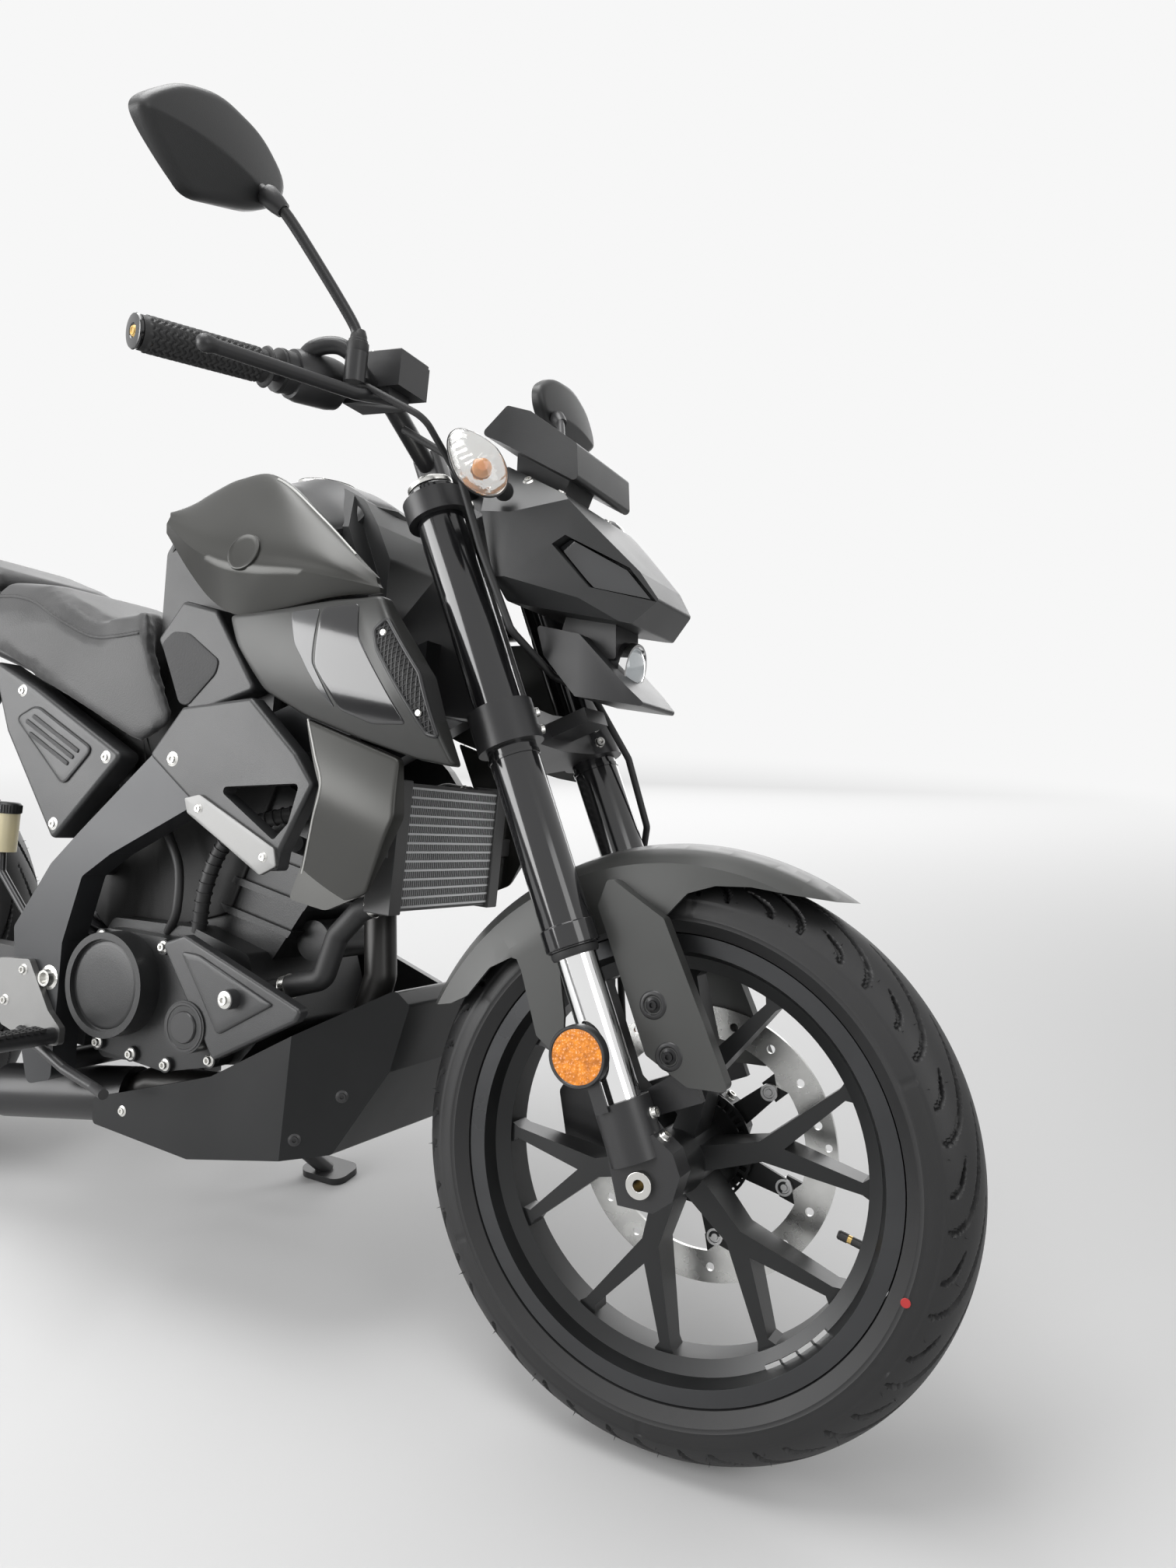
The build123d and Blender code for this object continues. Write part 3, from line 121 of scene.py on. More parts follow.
for name, spot, aim, wide, tall, power in SOFT_BOXES:
    box_light = bpy.data.lights.new(name, "AREA")
    box_light.shape = "RECTANGLE"
    box_light.size = wide
    box_light.size_y = tall
    box_light.energy = power
    lamp = bpy.data.objects.new(name, box_light)
    lamp.matrix_world = Matrix.Translation(spot) @ (
        Vector(spot) - Vector(aim)).to_track_quat("Z", "Y").to_matrix().to_4x4()
    lamp.visible_camera = False
    scene.collection.objects.link(lamp)

# Camera: it stands ahead of the bike on its right, a little above the seat, and looks back
# and slightly down, as the photograph does.
CAMERA_SPOT = Vector((1.0418, -0.9351, 0.8634))
CAMERA_YAW, CAMERA_PITCH, CAMERA_ROLL = radians(26.27), radians(-10.01), radians(0.51)
CAMERA_LENS = 25.594
ahead = Vector((
    -sin(CAMERA_YAW) * cos(CAMERA_PITCH), cos(CAMERA_YAW) * cos(CAMERA_PITCH), sin(CAMERA_PITCH)))
across = Vector((cos(CAMERA_YAW), sin(CAMERA_YAW), 0))
above = across.cross(ahead)
right = cos(CAMERA_ROLL) * across + sin(CAMERA_ROLL) * above
upper = cos(CAMERA_ROLL) * above - sin(CAMERA_ROLL) * across
eye = bpy.data.cameras.new("photo_view")
eye.sensor_width = 36
eye.lens = CAMERA_LENS
eye.clip_start = 0.02
camera = bpy.data.objects.new("photo_view", eye)
turn = Matrix((right, upper, -ahead)).transposed().to_4x4()
camera.matrix_world = Matrix.Translation(CAMERA_SPOT + shift) @ turn
scene.collection.objects.link(camera)
scene.camera = camera


# Wheels: cast in aluminium with six forked spokes, powder coated satin black. The rim's edge
# is coloured lighter and more metallic, partly its own satin finish and partly a painted highlight.
# A rubber valve and stick-on weights sit in each rim.
def moulded(name, colour, rough, grain=700, depth=0.06, metal=0.0, mottle=0.1, coat=0.0, broad_scale=9):
    """A finish with a fine grain in its bump and a faint mottle in its colour and gloss."""
    mat = bpy.data.materials.new(name)
    mat.use_nodes = True
    tree = mat.node_tree
    skin = tree.nodes["Principled BSDF"].inputs
    skin["Metallic"].default_value = metal
    skin["Coat Weight"].default_value = coat
    skin["Coat Roughness"].default_value = 0.08
    place = add_node(tree, "ShaderNodeTexCoord").outputs["Object"]
    broad = add_node(tree, "ShaderNodeTexNoise", {"Scale": broad_scale, "Detail": 5}, {"Vector": place})
    low, high = 0.3, 0.7
    tint = add_node(tree, "ShaderNodeValToRGB", feeds={"Fac": broad.outputs["Fac"]})
    for stop, at, shade in zip(tint.color_ramp.elements, (low, high), (1 - mottle, 1 + mottle)):
        stop.position = at
        stop.color = (*[min(1, c * shade) for c in colour], 1)
    tree.links.new(tint.outputs["Color"], skin["Base Color"])
    gloss = add_node(tree, "ShaderNodeMapRange", {
        "From Min": low, "From Max": high, "To Min": max(0.02, rough - 0.04), "To Max": rough + 0.04}, {
        "Value": broad.outputs["Fac"]})
    tree.links.new(gloss.outputs["Result"], skin["Roughness"])
    fine = add_node(tree, "ShaderNodeTexNoise", {"Scale": grain, "Detail": 2}, {"Vector": place})
    bump = add_node(tree, "ShaderNodeBump", {"Strength": depth, "Distance": 0.001}, {
        "Height": fine.outputs["Fac"]})
    tree.links.new(bump.outputs["Normal"], skin["Normal"])
    return mat


def seam_tree():
    """Joins a solid's loose facets, and keeps an edge sharp where its faces turn."""
    tree = bpy.data.node_groups.new("join_facets", "GeometryNodeTree")
    tree.interface.new_socket("Geometry", in_out="INPUT", socket_type="NodeSocketGeometry")
    for label, value in (("Gap", 2e-6), ("Sharp angle", radians(28))):
        number = tree.interface.new_socket(label, in_out="INPUT", socket_type="NodeSocketFloat")
        number.default_value = value
    tree.interface.new_socket("Geometry", in_out="OUTPUT", socket_type="NodeSocketGeometry")
    start = add_node(tree, "NodeGroupInput").outputs
    join = add_node(tree, "GeometryNodeMergeByDistance", feeds={
        "Geometry": start["Geometry"], "Distance": start["Gap"]})
    bare = add_node(tree, "GeometryNodeRemoveAttribute", {"Name": "custom_normal"}, {
        "Geometry": join.outputs["Geometry"]})
    all_smooth = add_node(
        tree, "GeometryNodeSetShadeSmooth", feeds={"Geometry": bare.outputs["Geometry"]})
    fold = add_node(tree, "GeometryNodeInputMeshEdgeAngle").outputs["Unsigned Angle"]
    low = add_node(
        tree, "FunctionNodeCompare", feeds={0: fold, 1: start["Sharp angle"]}, operation="LESS_THAN")
    edges = add_node(
        tree, "GeometryNodeSetShadeSmooth",
        feeds={"Geometry": all_smooth.outputs["Geometry"], "Shade Smooth": low.outputs["Result"]},
        domain="EDGE")
    add_node(tree, "NodeGroupOutput", feeds={"Geometry": edges.outputs["Geometry"]})
    return tree


JOIN_FACETS = seam_tree()


def dress(names, finish, edge=0.0012, rounds=2, second=None, where=None):
    """Gives CAD nodes their finish, a second finish on the faces that where picks, and soft edges."""
    for name in names:
        node = frame["nodes"][name]
        node.data.materials.clear()
        node.data.materials.append(finish)
        if second:
            node.data.materials.append(second)
            for face in node.data.polygons:
                face.material_index = int(where(UPRIGHT @ face.center * 1000, face.normal))
        weld = node.modifiers.new("joined", "NODES")
        weld.node_group = JOIN_FACETS
        if edge:
            flat = node.modifiers.new("flat_faces", "DECIMATE")
            flat.decimate_type = "DISSOLVE"
            flat.angle_limit = radians(0.4)
            flat.delimit = {"MATERIAL"}
            soft = node.modifiers.new("soft_edges", "BEVEL")
            soft.width = edge
            soft.segments = rounds
            soft.limit_method = "ANGLE"
            soft.angle_limit = radians(32)
            soft.harden_normals = True
            soft.use_clamp_overlap = True


def piece(name, shape, finish, body, twin=False, fold=38):
    """A finished piece from points in upright millimetres; a twin is its mirror on the left."""
    points, faces = shape
    points = [Vector(p) / 1000 for p in points]
    faces = [list(face) for face in faces]
    if twin:
        count = len(points)
        points += [Vector((p.x, -p.y, p.z)) for p in points]
        faces += [[count + i for i in reversed(face)] for face in faces]
    mesh = bpy.data.meshes.new(name)
    mesh.from_pydata([STAND @ p for p in points], [], faces)
    work = bmesh.new()
    work.from_mesh(mesh)
    bmesh.ops.remove_doubles(work, verts=work.verts, dist=1e-6)
    bmesh.ops.recalc_face_normals(work, faces=work.faces)
    work.to_mesh(mesh)
    work.free()
    mesh.shade_smooth()
    mesh.set_sharp_from_angle(angle=radians(fold))
    mesh.materials.append(finish)
    made = bpy.data.objects.new(name, mesh)
    scene.collection.objects.link(made)
    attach(made, body)
    return made


def turned(profile, centre, axis, steps=40):
    """Points and faces of a turned form: a profile of (radius, along) pairs spun about an axis."""
    axis = Vector(axis).normalized()
    side = axis.orthogonal().normalized()
    other = axis.cross(side)
    centre = Vector(centre)
    points, faces = [], []
    for k in range(steps):
        out = side * cos(2 * pi * k / steps) + other * sin(2 * pi * k / steps)
        points += [centre + out * r + axis * h for r, h in profile]
    rows = len(profile)
    for k in range(steps):
        here, there = k * rows, (k + 1) % steps * rows
        faces += [(here + i, there + i, there + i + 1, here + i + 1) for i in range(rows - 1)]
    return points, faces


def joined(*shapes):
    """Several shapes as one."""
    points, faces = [], []
    for more_points, more_faces in shapes:
        start = len(points)
        points += list(more_points)
        faces += [[start + i for i in face] for face in more_faces]
    return points, faces


def round_wheel(axle, radius, turn, out):
    """A point at a radius and an angle from the ground ahead, at a distance to the left."""
    return axle * 1000 + Vector((radius * cos(turn), out, radius * sin(turn)))


BOX_FACES = [(0, 1, 3, 2), (4, 6, 7, 5), (0, 4, 5, 1), (2, 3, 7, 6), (0, 2, 6, 4), (1, 5, 7, 3)]
# Faces beyond RIM_EDGE_FROM get a lighter, more metallic finish: partly the rim's own lip, partly a
# painted highlight.
RIM_EDGE_FROM, VALVE_FROM = 216, 205
cast_black = moulded("cast_black", (0.014, 0.0145, 0.015), 0.36, grain=900, depth=0.05, metal=0.25)
rim_edge_and_highlight = moulded("rim_edge_and_highlight", (0.05, 0.051, 0.053), 0.3, grain=900, depth=0.04, metal=0.6)
for name, axle in (("front_wheel", FRONT_AXLE), ("rear_wheel", REAR_AXLE)):
    dress([name], cast_black, 0.0015, second=rim_edge_and_highlight, where=lambda p, n, axle=axle: hypot(
        p.x - axle.x * 1000, p.z - axle.z * 1000) > RIM_EDGE_FROM)
valve_rubber = moulded("valve_rubber", (0.012, 0.012, 0.012), 0.5)
brass = moulded("brass", (0.62, 0.43, 0.16), 0.3, metal=1.0)
wheel_weight = moulded("wheel_weight", (0.6, 0.6, 0.6), 0.35, metal=1.0)
for name, axle, turn in (("front", FRONT_AXLE, radians(-12)), ("rear", REAR_AXLE, radians(110))):
    inward = Vector((-cos(turn), 0, -sin(turn)))
    root = round_wheel(axle, VALVE_FROM, turn, -8)
    stem = [(0, -8), (6, -8), (5.4, 4), (4.2, 10), (4.0, 22), (0, 22)]
    piece(name + "_valve", turned(stem, root, inward, 20), valve_rubber, name + "_wheel_body")
    neck = [(0, 21), (3.9, 21), (3.9, 27), (0, 27)]
    piece(name + "_valve_neck", turned(neck, root, inward, 20), brass, name + "_wheel_body")
    cap = [(0, 26)] + [(4.6 - 0.3 * (k % 2), 26 + k) for k in range(9)] + [(3.4, 36), (0, 36)]
    piece(
        name + "_valve_cap", turned(cap, root, inward, 20), valve_rubber, name + "_wheel_body")
    strips = []
    for k in range(4):
        a = turn - radians(26 + 5.4 * k)
        corners = [
            round_wheel(axle, r, a + da, y)
            for r in (208, 203.5) for da in (-0.04, 0.04) for y in (-27, -9)]
        strips.append((corners, BOX_FACES))
    piece(name + "_weights", joined(*strips), wheel_weight, name + "_wheel_body")


# Tyres: tubeless road tyres in black rubber, moulded in one piece with sickle-shaped rain
# grooves, a ring above the bead and short rubber hairs from the mould's vents.
SHOULDER = radians(64)
# Each groove: from and to as shares of the shoulder, start and sweep in pitches, half its width.
GROOVES = ((0.08, 0.97, 0.0, 1.45, 2.5), (0.60, 0.95, 0.62, 0.42, 2.3))
GROOVE_DEPTH = 4.4
WALL_FROM, BEAD_RING = 66.5, 86
FRONT_RADIUS, FRONT_CROWN = 296, 52


def road_tyre(axle, radius, crown, rim_half, pitches, around=768, over=104):
    """The grooved tyre as a ring of cross-sections."""
    base = radius - crown
    turn = np.linspace(0, 2 * pi, around, endpoint=False)[:, None]
    spread = np.linspace(-1, 1, over + 1)
    lie = np.radians(np.sign(spread) * np.interp(np.abs(spread), (0, 0.82, 1), (0, 68, 90)))[None, :]
    out = np.abs(lie) / SHOULDER
    side = np.where(lie < 0, 0.5, 0.0)
    run = 2 * pi * (base + crown * np.cos(lie)) / pitches
    depth = np.zeros((around, over + 1))
    for first, last, start, sweep, wide in GROOVES:
        share = np.clip((out - first) / (last - first), 0, 1)
        line = start + side + sweep * (1 - (1 - share) ** 2.4)
        slope = sweep * 2.4 * (1 - share) ** 1.4 * run / ((last - first) * SHOULDER * crown)
        off = np.abs((-turn / (2 * pi) * pitches - line + 0.5) % 1 - 0.5) * run / np.sqrt(
            1 + slope ** 2)
        width = wide * np.minimum(1, np.minimum(share * 3.2, (1 - share) * 9))
        depth = np.maximum(
            depth, GROOVE_DEPTH * np.clip((width - off) / 0.8 + 0.5, 0, 1) * (width > 0.3))
    degrees = np.degrees(np.abs(lie))
    depth = depth + (degrees > WALL_FROM) * 0.7 - (np.abs(degrees - BEAD_RING) < 1.3) * 0.9
    tick = (np.abs((turn * 6 / pi) % 2 - 1) < 0.016) * ((degrees > 66) & (degrees < 84)) * 0.6
    depth = depth + tick
    r = base + (crown - depth) * np.cos(lie)
    y = (crown - depth) * np.sin(lie)
    bead = [(rim_half + 1.5, 231.5), (rim_half - 4, 230.5)]
    points, faces = [], []
    rows = over + 1 + 2 * len(bead)
    for i in range(around):
        a = float(turn[i, 0])
        section = [(-w, q) for w, q in reversed(bead)] + list(zip(y[i], r[i])) + bead
        points += [round_wheel(axle, float(q), a, float(w)) for w, q in section]
    for i in range(around):
        here, there = i * rows, (i + 1) % around * rows
        faces += [
            (here + j, there + j, there + (j + 1) % rows, here + (j + 1) % rows) for j in range(rows)]
    return points, faces


def points_tree(name, numbers, vectors=()):
    """A tree that takes points, named values and a finish, and gives a mesh."""
    tree = bpy.data.node_groups.new(name, "GeometryNodeTree")
    takes = [("Geometry", "Geometry")] + [(label, "Float") for label in numbers]
    takes += [(label, "Vector") for label in vectors] + [("Finish", "Material")]
    for label, kind in takes:
        tree.interface.new_socket(label, in_out="INPUT", socket_type="NodeSocket" + kind)
    tree.interface.new_socket("Geometry", in_out="OUTPUT", socket_type="NodeSocketGeometry")
    return tree, add_node(tree, "NodeGroupInput").outputs


def stood(tree, start, form, axis="Z", first=None):
    """Ends a tree: a form stands on each point along the point's facing, in the finish."""
    facing = add_node(
        tree, "GeometryNodeInputNamedAttribute", {"Name": "facing"}, data_type="FLOAT_VECTOR")
    aim = add_node(tree, "FunctionNodeAlignRotationToVector", feeds={
        "Vector": facing.outputs["Attribute"]}, axis=axis)
    if first is not None:
        aim.pivot_axis = "Y"
        tree.links.new(first, aim.inputs["Rotation"])
    set_out = add_node(tree, "GeometryNodeInstanceOnPoints", feeds={
        "Points": start["Geometry"], "Instance": form, "Rotation": aim.outputs["Rotation"]})
    real = add_node(
        tree, "GeometryNodeRealizeInstances", feeds={"Geometry": set_out.outputs["Instances"]})
    finish = add_node(tree, "GeometryNodeSetMaterial", feeds={
        "Geometry": real.outputs["Geometry"], "Material": start["Finish"]})
    add_node(tree, "NodeGroupOutput", feeds={"Geometry": finish.outputs["Geometry"]})
    return tree


def hair_tree():
    """Short tapered hairs that stand on points, along each point's own direction."""
    tree, start = points_tree("tyre_hairs", ("Length", "Thickness"))
    hair = add_node(tree, "GeometryNodeMeshCone", {"Vertices": 5, "Radius Top": 0.00015}, {
        "Radius Bottom": start["Thickness"], "Depth": start["Length"]})
    return stood(tree, start, hair.outputs["Mesh"])


def grown(name, places, tree, values, body):
    """Runs a tree on points with a facing each, in upright millimetres, and keeps the plain mesh."""
    seed_mesh = bpy.data.meshes.new(name)
    seed_mesh.from_pydata([STAND @ (Vector(p) / 1000) for p, _ in places], [], [])
    facing = seed_mesh.attributes.new("facing", "FLOAT_VECTOR", "POINT")
    turned_facings = [lean.to_3x3() @ Vector(n).normalized() for _, n in places]
    facing.data.foreach_set("vector", [c for n in turned_facings for c in n])
    made = bpy.data.objects.new(name, seed_mesh)
    scene.collection.objects.link(made)
    grow = made.modifiers.new("grow", "NODES")
    grow.node_group = tree
    for item in tree.interface.items_tree:
        if item.in_out == "INPUT" and item.name in values:
            grow[item.identifier] = values[item.name]
    made.data = bpy.data.meshes.new_from_object(
        made.evaluated_get(bpy.context.evaluated_depsgraph_get()))
    made.modifiers.clear()
    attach(made, body)
    return made


tyre_rubber = moulded("tyre_rubber", (0.011, 0.011, 0.0115), 0.52, grain=1500, depth=0.12, mottle=0.2)
paint_dot = moulded("paint_dot", (0.45, 0.03, 0.03), 0.5)
HAIRS = hair_tree()
for name, axle, radius, crown, rim_half, pitches in (
        ("front", FRONT_AXLE, FRONT_RADIUS, FRONT_CROWN, 40, 22), ("rear", REAR_AXLE, 314, 70, 55, 22)):
    tyre = piece(
        name + "_road_tyre", road_tyre(axle, radius, crown, rim_half, pitches), tyre_rubber,
        name + "_wheel_body", fold=34)
    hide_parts(name + "_tyre")
    vents = []
    for k in range(30):
        a = 2 * pi * (k + 0.3 * sin(7 * k)) / 30
        for lie in (-56, -40, 40, 56):
            b = radians(lie + 3 * sin(5 * k + lie))
            foot = round_wheel(axle, radius - crown + crown * cos(b), a, crown * sin(b))
            vents.append((foot, Vector((cos(b) * cos(a), sin(b), cos(b) * sin(a)))))
    grown(name + "_tyre_hairs", vents, HAIRS,
          {"Length": 0.004, "Thickness": 0.0005, "Finish": tyre_rubber}, name + "_wheel_body")
dot_lie, dot_turn = radians(-BEAD_RING), radians(-15)
dot_spot = round_wheel(
    FRONT_AXLE, FRONT_RADIUS - FRONT_CROWN + FRONT_CROWN * cos(dot_lie), dot_turn,
    FRONT_CROWN * sin(dot_lie))
dot_out = Vector((cos(dot_lie) * cos(dot_turn), sin(dot_lie), cos(dot_lie) * sin(dot_turn)))
piece("tyre_dot", turned([(0, 0.1), (4.5, 0.1), (4.2, 0.35), (0, 0.4)], dot_spot, dot_out, 24),
      paint_dot, "front_wheel_body")


# Brake discs and sprocket: stainless rings, drilled and ground in fine circles, float on black
# carriers with bright buttons. The sprocket is zinc-plated steel, bolted to the rear hub.
def ground_steel(name, axle):
    """Bright steel with fine rings round an axle and cloudy grinding marks."""
    mat = moulded(
        name, (0.60, 0.60, 0.585), 0.27, grain=400, depth=0.03, metal=1.0, mottle=0.14, broad_scale=34)
    tree = mat.node_tree
    place = add_node(tree, "ShaderNodeTexCoord").outputs["Object"]
    centred = add_node(
        tree, "ShaderNodeMapping", {"Location": STAND @ axle, "Rotation": lean.to_euler()},
        {"Vector": place}, vector_type="TEXTURE")
    rings = add_node(tree, "ShaderNodeTexWave", {"Scale": 420, "Distortion": 2.5}, {
        "Vector": centred.outputs["Vector"]}, wave_type="RINGS", rings_direction="Y")
    lines = add_node(tree, "ShaderNodeBump", {"Strength": 0.12, "Distance": 0.0004}, {
        "Height": rings.outputs["Fac"], "Normal": tree.nodes["Bump"].outputs["Normal"]})
    tree.links.new(lines.outputs["Normal"], tree.nodes["Principled BSDF"].inputs["Normal"])
    return mat


def landing(owner, start, aim):
    """Where a line from a point first meets a piece, and which way the piece faces there."""
    owner = frame["nodes"][owner] if isinstance(owner, str) else owner
    skin = BVHTree.FromPolygons(
        [UPRIGHT @ v.co * 1000 for v in owner.data.vertices],
        [f.vertices[:] for f in owner.data.polygons])
    spot, normal, _, _ = skin.ray_cast(Vector(start), Vector(aim).normalized())
    if spot is None:
        raise ValueError(f"no {owner.name} beyond {tuple(start)}")
    return spot, normal


BUTTON_IN, FIRST_BUTTON = 16, 45
for name, axle, inner in (("front_disc", FRONT_AXLE, 113), ("rear_disc", REAR_AXLE, 84)):
    def on_carrier(p, n, axle=axle, inner=inner):
        x, z = p.x - axle.x * 1000, p.z - axle.z * 1000
        spread = (atan2(z, x) - radians(FIRST_BUTTON) + pi / 6) % (pi / 3) - pi / 6
        far = hypot(x, z)
        on_button = hypot(far * cos(spread) - inner + BUTTON_IN, far * sin(spread)) < 9.6
        return far < inner - 1 and not on_button
    dress([name], ground_steel(name + "_steel", axle), 0.0006, second=cast_black, where=on_carrier)
    button = [
        (0, 2.2), (3.4, 2.2), (4, 1.0), (5.8, 1.0), (6.4, 2.4), (8.8, 2.4), (9.3, 0.8), (9.3, -0.6),
        (0, -0.6)]
    studs = []
    for k in range(6):
        a = radians(FIRST_BUTTON + 60 * k)
        spot, _ = landing(name, round_wheel(axle, inner - BUTTON_IN, a, -300), (0, 1, 0))
        studs.append(turned(button, spot, (0, -1, 0), 24))
    piece(name + "_buttons", joined(*studs), wheel_weight, name[:-5] + "_wheel_body")
tone_ring = [
    turned([(r, 43), (r + 3, 43), (r + 3, 46), (r, 46), (r, 43)], FRONT_AXLE * 1000, (0, 1, 0), 72)
    for r in (46, 57)]
TONE_BARS, TONE_HALF = 40, 0.032
for k in range(TONE_BARS):
    a = 2 * pi * k / TONE_BARS
    corners = [
        round_wheel(FRONT_AXLE, r, a + da, y) for r in (48, 58) for da in (-TONE_HALF, TONE_HALF)
        for y in (43.2, 45.8)]
    tone_ring.append((corners, BOX_FACES))
piece("front_tone_ring", joined(*tone_ring), cast_black, "front_wheel_body")
dress(["rear_sprocket"], ground_steel("sprocket_steel", REAR_AXLE), 0.0006)


# Fork: hard-chromed inner tubes slide in gloss black outer tubes with a bright cap and a dust
# lip. Two satin yokes clamp them with steel bolts, and cast lugs hold the axle below.
def fork_point(ahead, side, up):
    """A point in upright millimetres from the front axle, ahead of and up along the fork."""
    return Vector((
        FRONT_AXLE.x * 1000 + ahead * cos(RAKE) - up * sin(RAKE), side,
        FRONT_AXLE.z * 1000 + ahead * sin(RAKE) + up * cos(RAKE)))


def fastener_tree():
    """Flanged bolts with a recessed socket, one on each point."""
    tree, start = points_tree("bolts", (
        "Head radius", "Head height", "Flange radius", "Flange height", "Socket share", "Socket depth"))
    flange = add_node(tree, "GeometryNodeMeshCone", {"Vertices": 20}, {
        "Radius Bottom": start["Flange radius"], "Depth": start["Flange height"],
        "Radius Top": start["Head radius"]})
    slim = add_node(tree, "ShaderNodeMath", {1: 0.9}, {0: start["Head radius"]}, operation="MULTIPLY")
    head = add_node(
        tree, "GeometryNodeMeshCone", {"Vertices": 18},
        {
            "Radius Bottom": start["Head radius"], "Radius Top": slim.outputs[0],
            "Depth": start["Head height"]})
    inset = add_node(tree, "GeometryNodeExtrudeMesh", {"Offset Scale": 0}, {
        "Mesh": head.outputs["Mesh"], "Selection": head.outputs["Top"]})
    narrow = add_node(
        tree, "GeometryNodeScaleElements",
        feeds={
            "Geometry": inset.outputs["Mesh"], "Selection": inset.outputs["Top"],
            "Scale": start["Socket share"]})
    sunk = add_node(tree, "GeometryNodeExtrudeMesh", feeds={
        "Mesh": narrow.outputs["Geometry"], "Selection": inset.outputs["Top"],
        "Offset Scale": start["Socket depth"]})
    bolt = add_node(tree, "GeometryNodeJoinGeometry", feeds={"Geometry": flange.outputs["Mesh"]})
    tree.links.new(sunk.outputs["Mesh"], bolt.inputs["Geometry"])
    return stood(tree, start, bolt.outputs["Geometry"])


BOLTS = fastener_tree()


def bolts(name, places, finish, body, head=5.0, tall=3.6, flange=7.0, share=0.55):
    """Flanged bolts at points that face outwards, in upright millimetres."""
    sizes = {
        "Head radius": head / 1000, "Head height": tall / 1000, "Flange radius": flange / 1000,
        "Flange height": 0.0011, "Socket share": share, "Socket depth": -0.6 * tall / 1000,
        "Finish": finish}
    return grown(name, places, BOLTS, sizes, body)


def on_sides(owner, places, out=400):
    """Landings on both flanks of a piece at (x, z) places."""
    return [landing(owner, (x, side * out, z), (0, -side, 0)) for x, z in places for side in (-1, 1)]


gloss_black = moulded("gloss_black", (0.010, 0.010, 0.011), 0.13, grain=300, depth=0.01, coat=0.5)
bright_chrome = moulded(
    "bright_chrome", (0.80, 0.80, 0.80), 0.07, grain=300, depth=0.01, metal=1.0, mottle=0.03)
satin_black = moulded("satin_black", (0.019, 0.019, 0.020), 0.38, grain=900, depth=0.08)
bright_zinc = moulded("bright_zinc", (0.66, 0.655, 0.63), 0.26, grain=500, depth=0.05, metal=1.0)
black_steel = moulded("black_steel", (0.02, 0.02, 0.021), 0.3, grain=600, depth=0.05, metal=0.5)
soft_rubber = moulded("soft_rubber", (0.016, 0.016, 0.0165), 0.55, grain=800, depth=0.1)
dress(["fork_tubes"], gloss_black, 0.0008)
dress(["fork_legs"], bright_chrome, 0.0)
dress(["fork_lugs", "yokes"], satin_black, 0.0016)
dress(["front_axle"], bright_zinc, 0.0008)
fork_up = fork_point(0, 0, 1) - fork_point(0, 0, 0)
fork_ahead = fork_point(1, 0, 0) - fork_point(0, 0, 0)
FORK_HALF = 98
caps, lips, seals = [], [], []
for side in (-FORK_HALF, FORK_HALF):
    cap = [
        (0, 0), (24.5, 0), (25, 1.2), (25, 4.5), (23.6, 6.2), (15, 6.6), (14, 8), (14, 12), (13, 13),
        (6, 13), (5.6, 10), (0, 10)]
    caps.append(turned(cap, fork_point(0, side, 745), fork_up, 36))
    lip = [(25.6, -1), (27.6, 0), (27.9, 2), (27.9, 10), (27.2, 12), (26.4, 13), (25.6, 14), (25.6, -1)]
    lips.append(turned(lip, fork_point(0, side, 231), fork_up, 40))
    bead = [(25.6, 0), (27.2, 0.6), (27.2, 4.4), (25.6, 5), (25.6, 0)]
    lips.append(turned(bead, fork_point(0, side, 430), fork_up, 40))
    seal = [(20.6, 0), (23.2, 0.4), (24.4, 3), (24.4, 7.5), (20.6, 8), (20.6, 0)]
    seals.append(turned(seal, fork_point(0, side, 221), fork_up, 36))
piece("fork_caps", joined(*caps), bright_zinc, "steering")
piece("fork_lips", joined(*lips), gloss_black, "steering")
piece("fork_dust_seals", joined(*seals), soft_rubber, "steering")
pinches = []
for side in (-1, 1):
    for up in (456, 475, 720):
        pinches.append(landing("yokes", fork_point(200, side * 74, up), -fork_ahead))
    for up in (0, 1):
        start = fork_point(200, side * FORK_HALF, 34 + 24 * up)
        pinches.append(landing("fork_lugs", start, -fork_ahead))
bolts("fork_pinch_bolts", pinches, bright_zinc, "steering", head=5.4, tall=5, flange=6.2)
axle_ends = [
    landing("front_axle", FRONT_AXLE * 1000 + Vector((0, side * 300, 0)), (0, -side, 0))
    for side in (-1, 1)]
bolts(
    "front_axle_socket", axle_ends, brass, "steering", head=6.5, tall=1.6, flange=7.5,
    share=0.72)

# Front fender: a ridged strip moulded in satin painted plastic, with side plates that are
# bolted to the fork lugs in round recesses.
satin_paint = moulded(
    "satin_paint", (0.036, 0.036, 0.033), 0.33, grain=2200, depth=0.02, metal=0.35, mottle=0.06)
fender_paint = moulded(
    "fender_paint", (0.052, 0.053, 0.051), 0.4, grain=2200, depth=0.03, metal=0.2, mottle=0.06)
dress(["front_fender"], fender_paint, 0.003, 4)
fender_marks, fender_rings = [], []
for ahead, up in ((55, 153), (54, 102)):
    for side in (-1, 1):
        spot, facing = landing("front_fender", fork_point(ahead, side * 300, up), (0, -side, 0))
        fender_marks.append((spot, facing))
        ring = [(9.0, -0.5), (14.4, -0.5), (13.8, 0.5), (12.4, 1.3), (10, 1.2), (9.0, 0.2), (9.0, -0.5)]
        fender_rings.append(turned(ring, spot, facing, 32))
bolts("fender_bolts", fender_marks, black_steel, "steering", head=5.2, tall=3.4, flange=8)
piece("fender_recess_rims", joined(*fender_rings), satin_black, "steering")

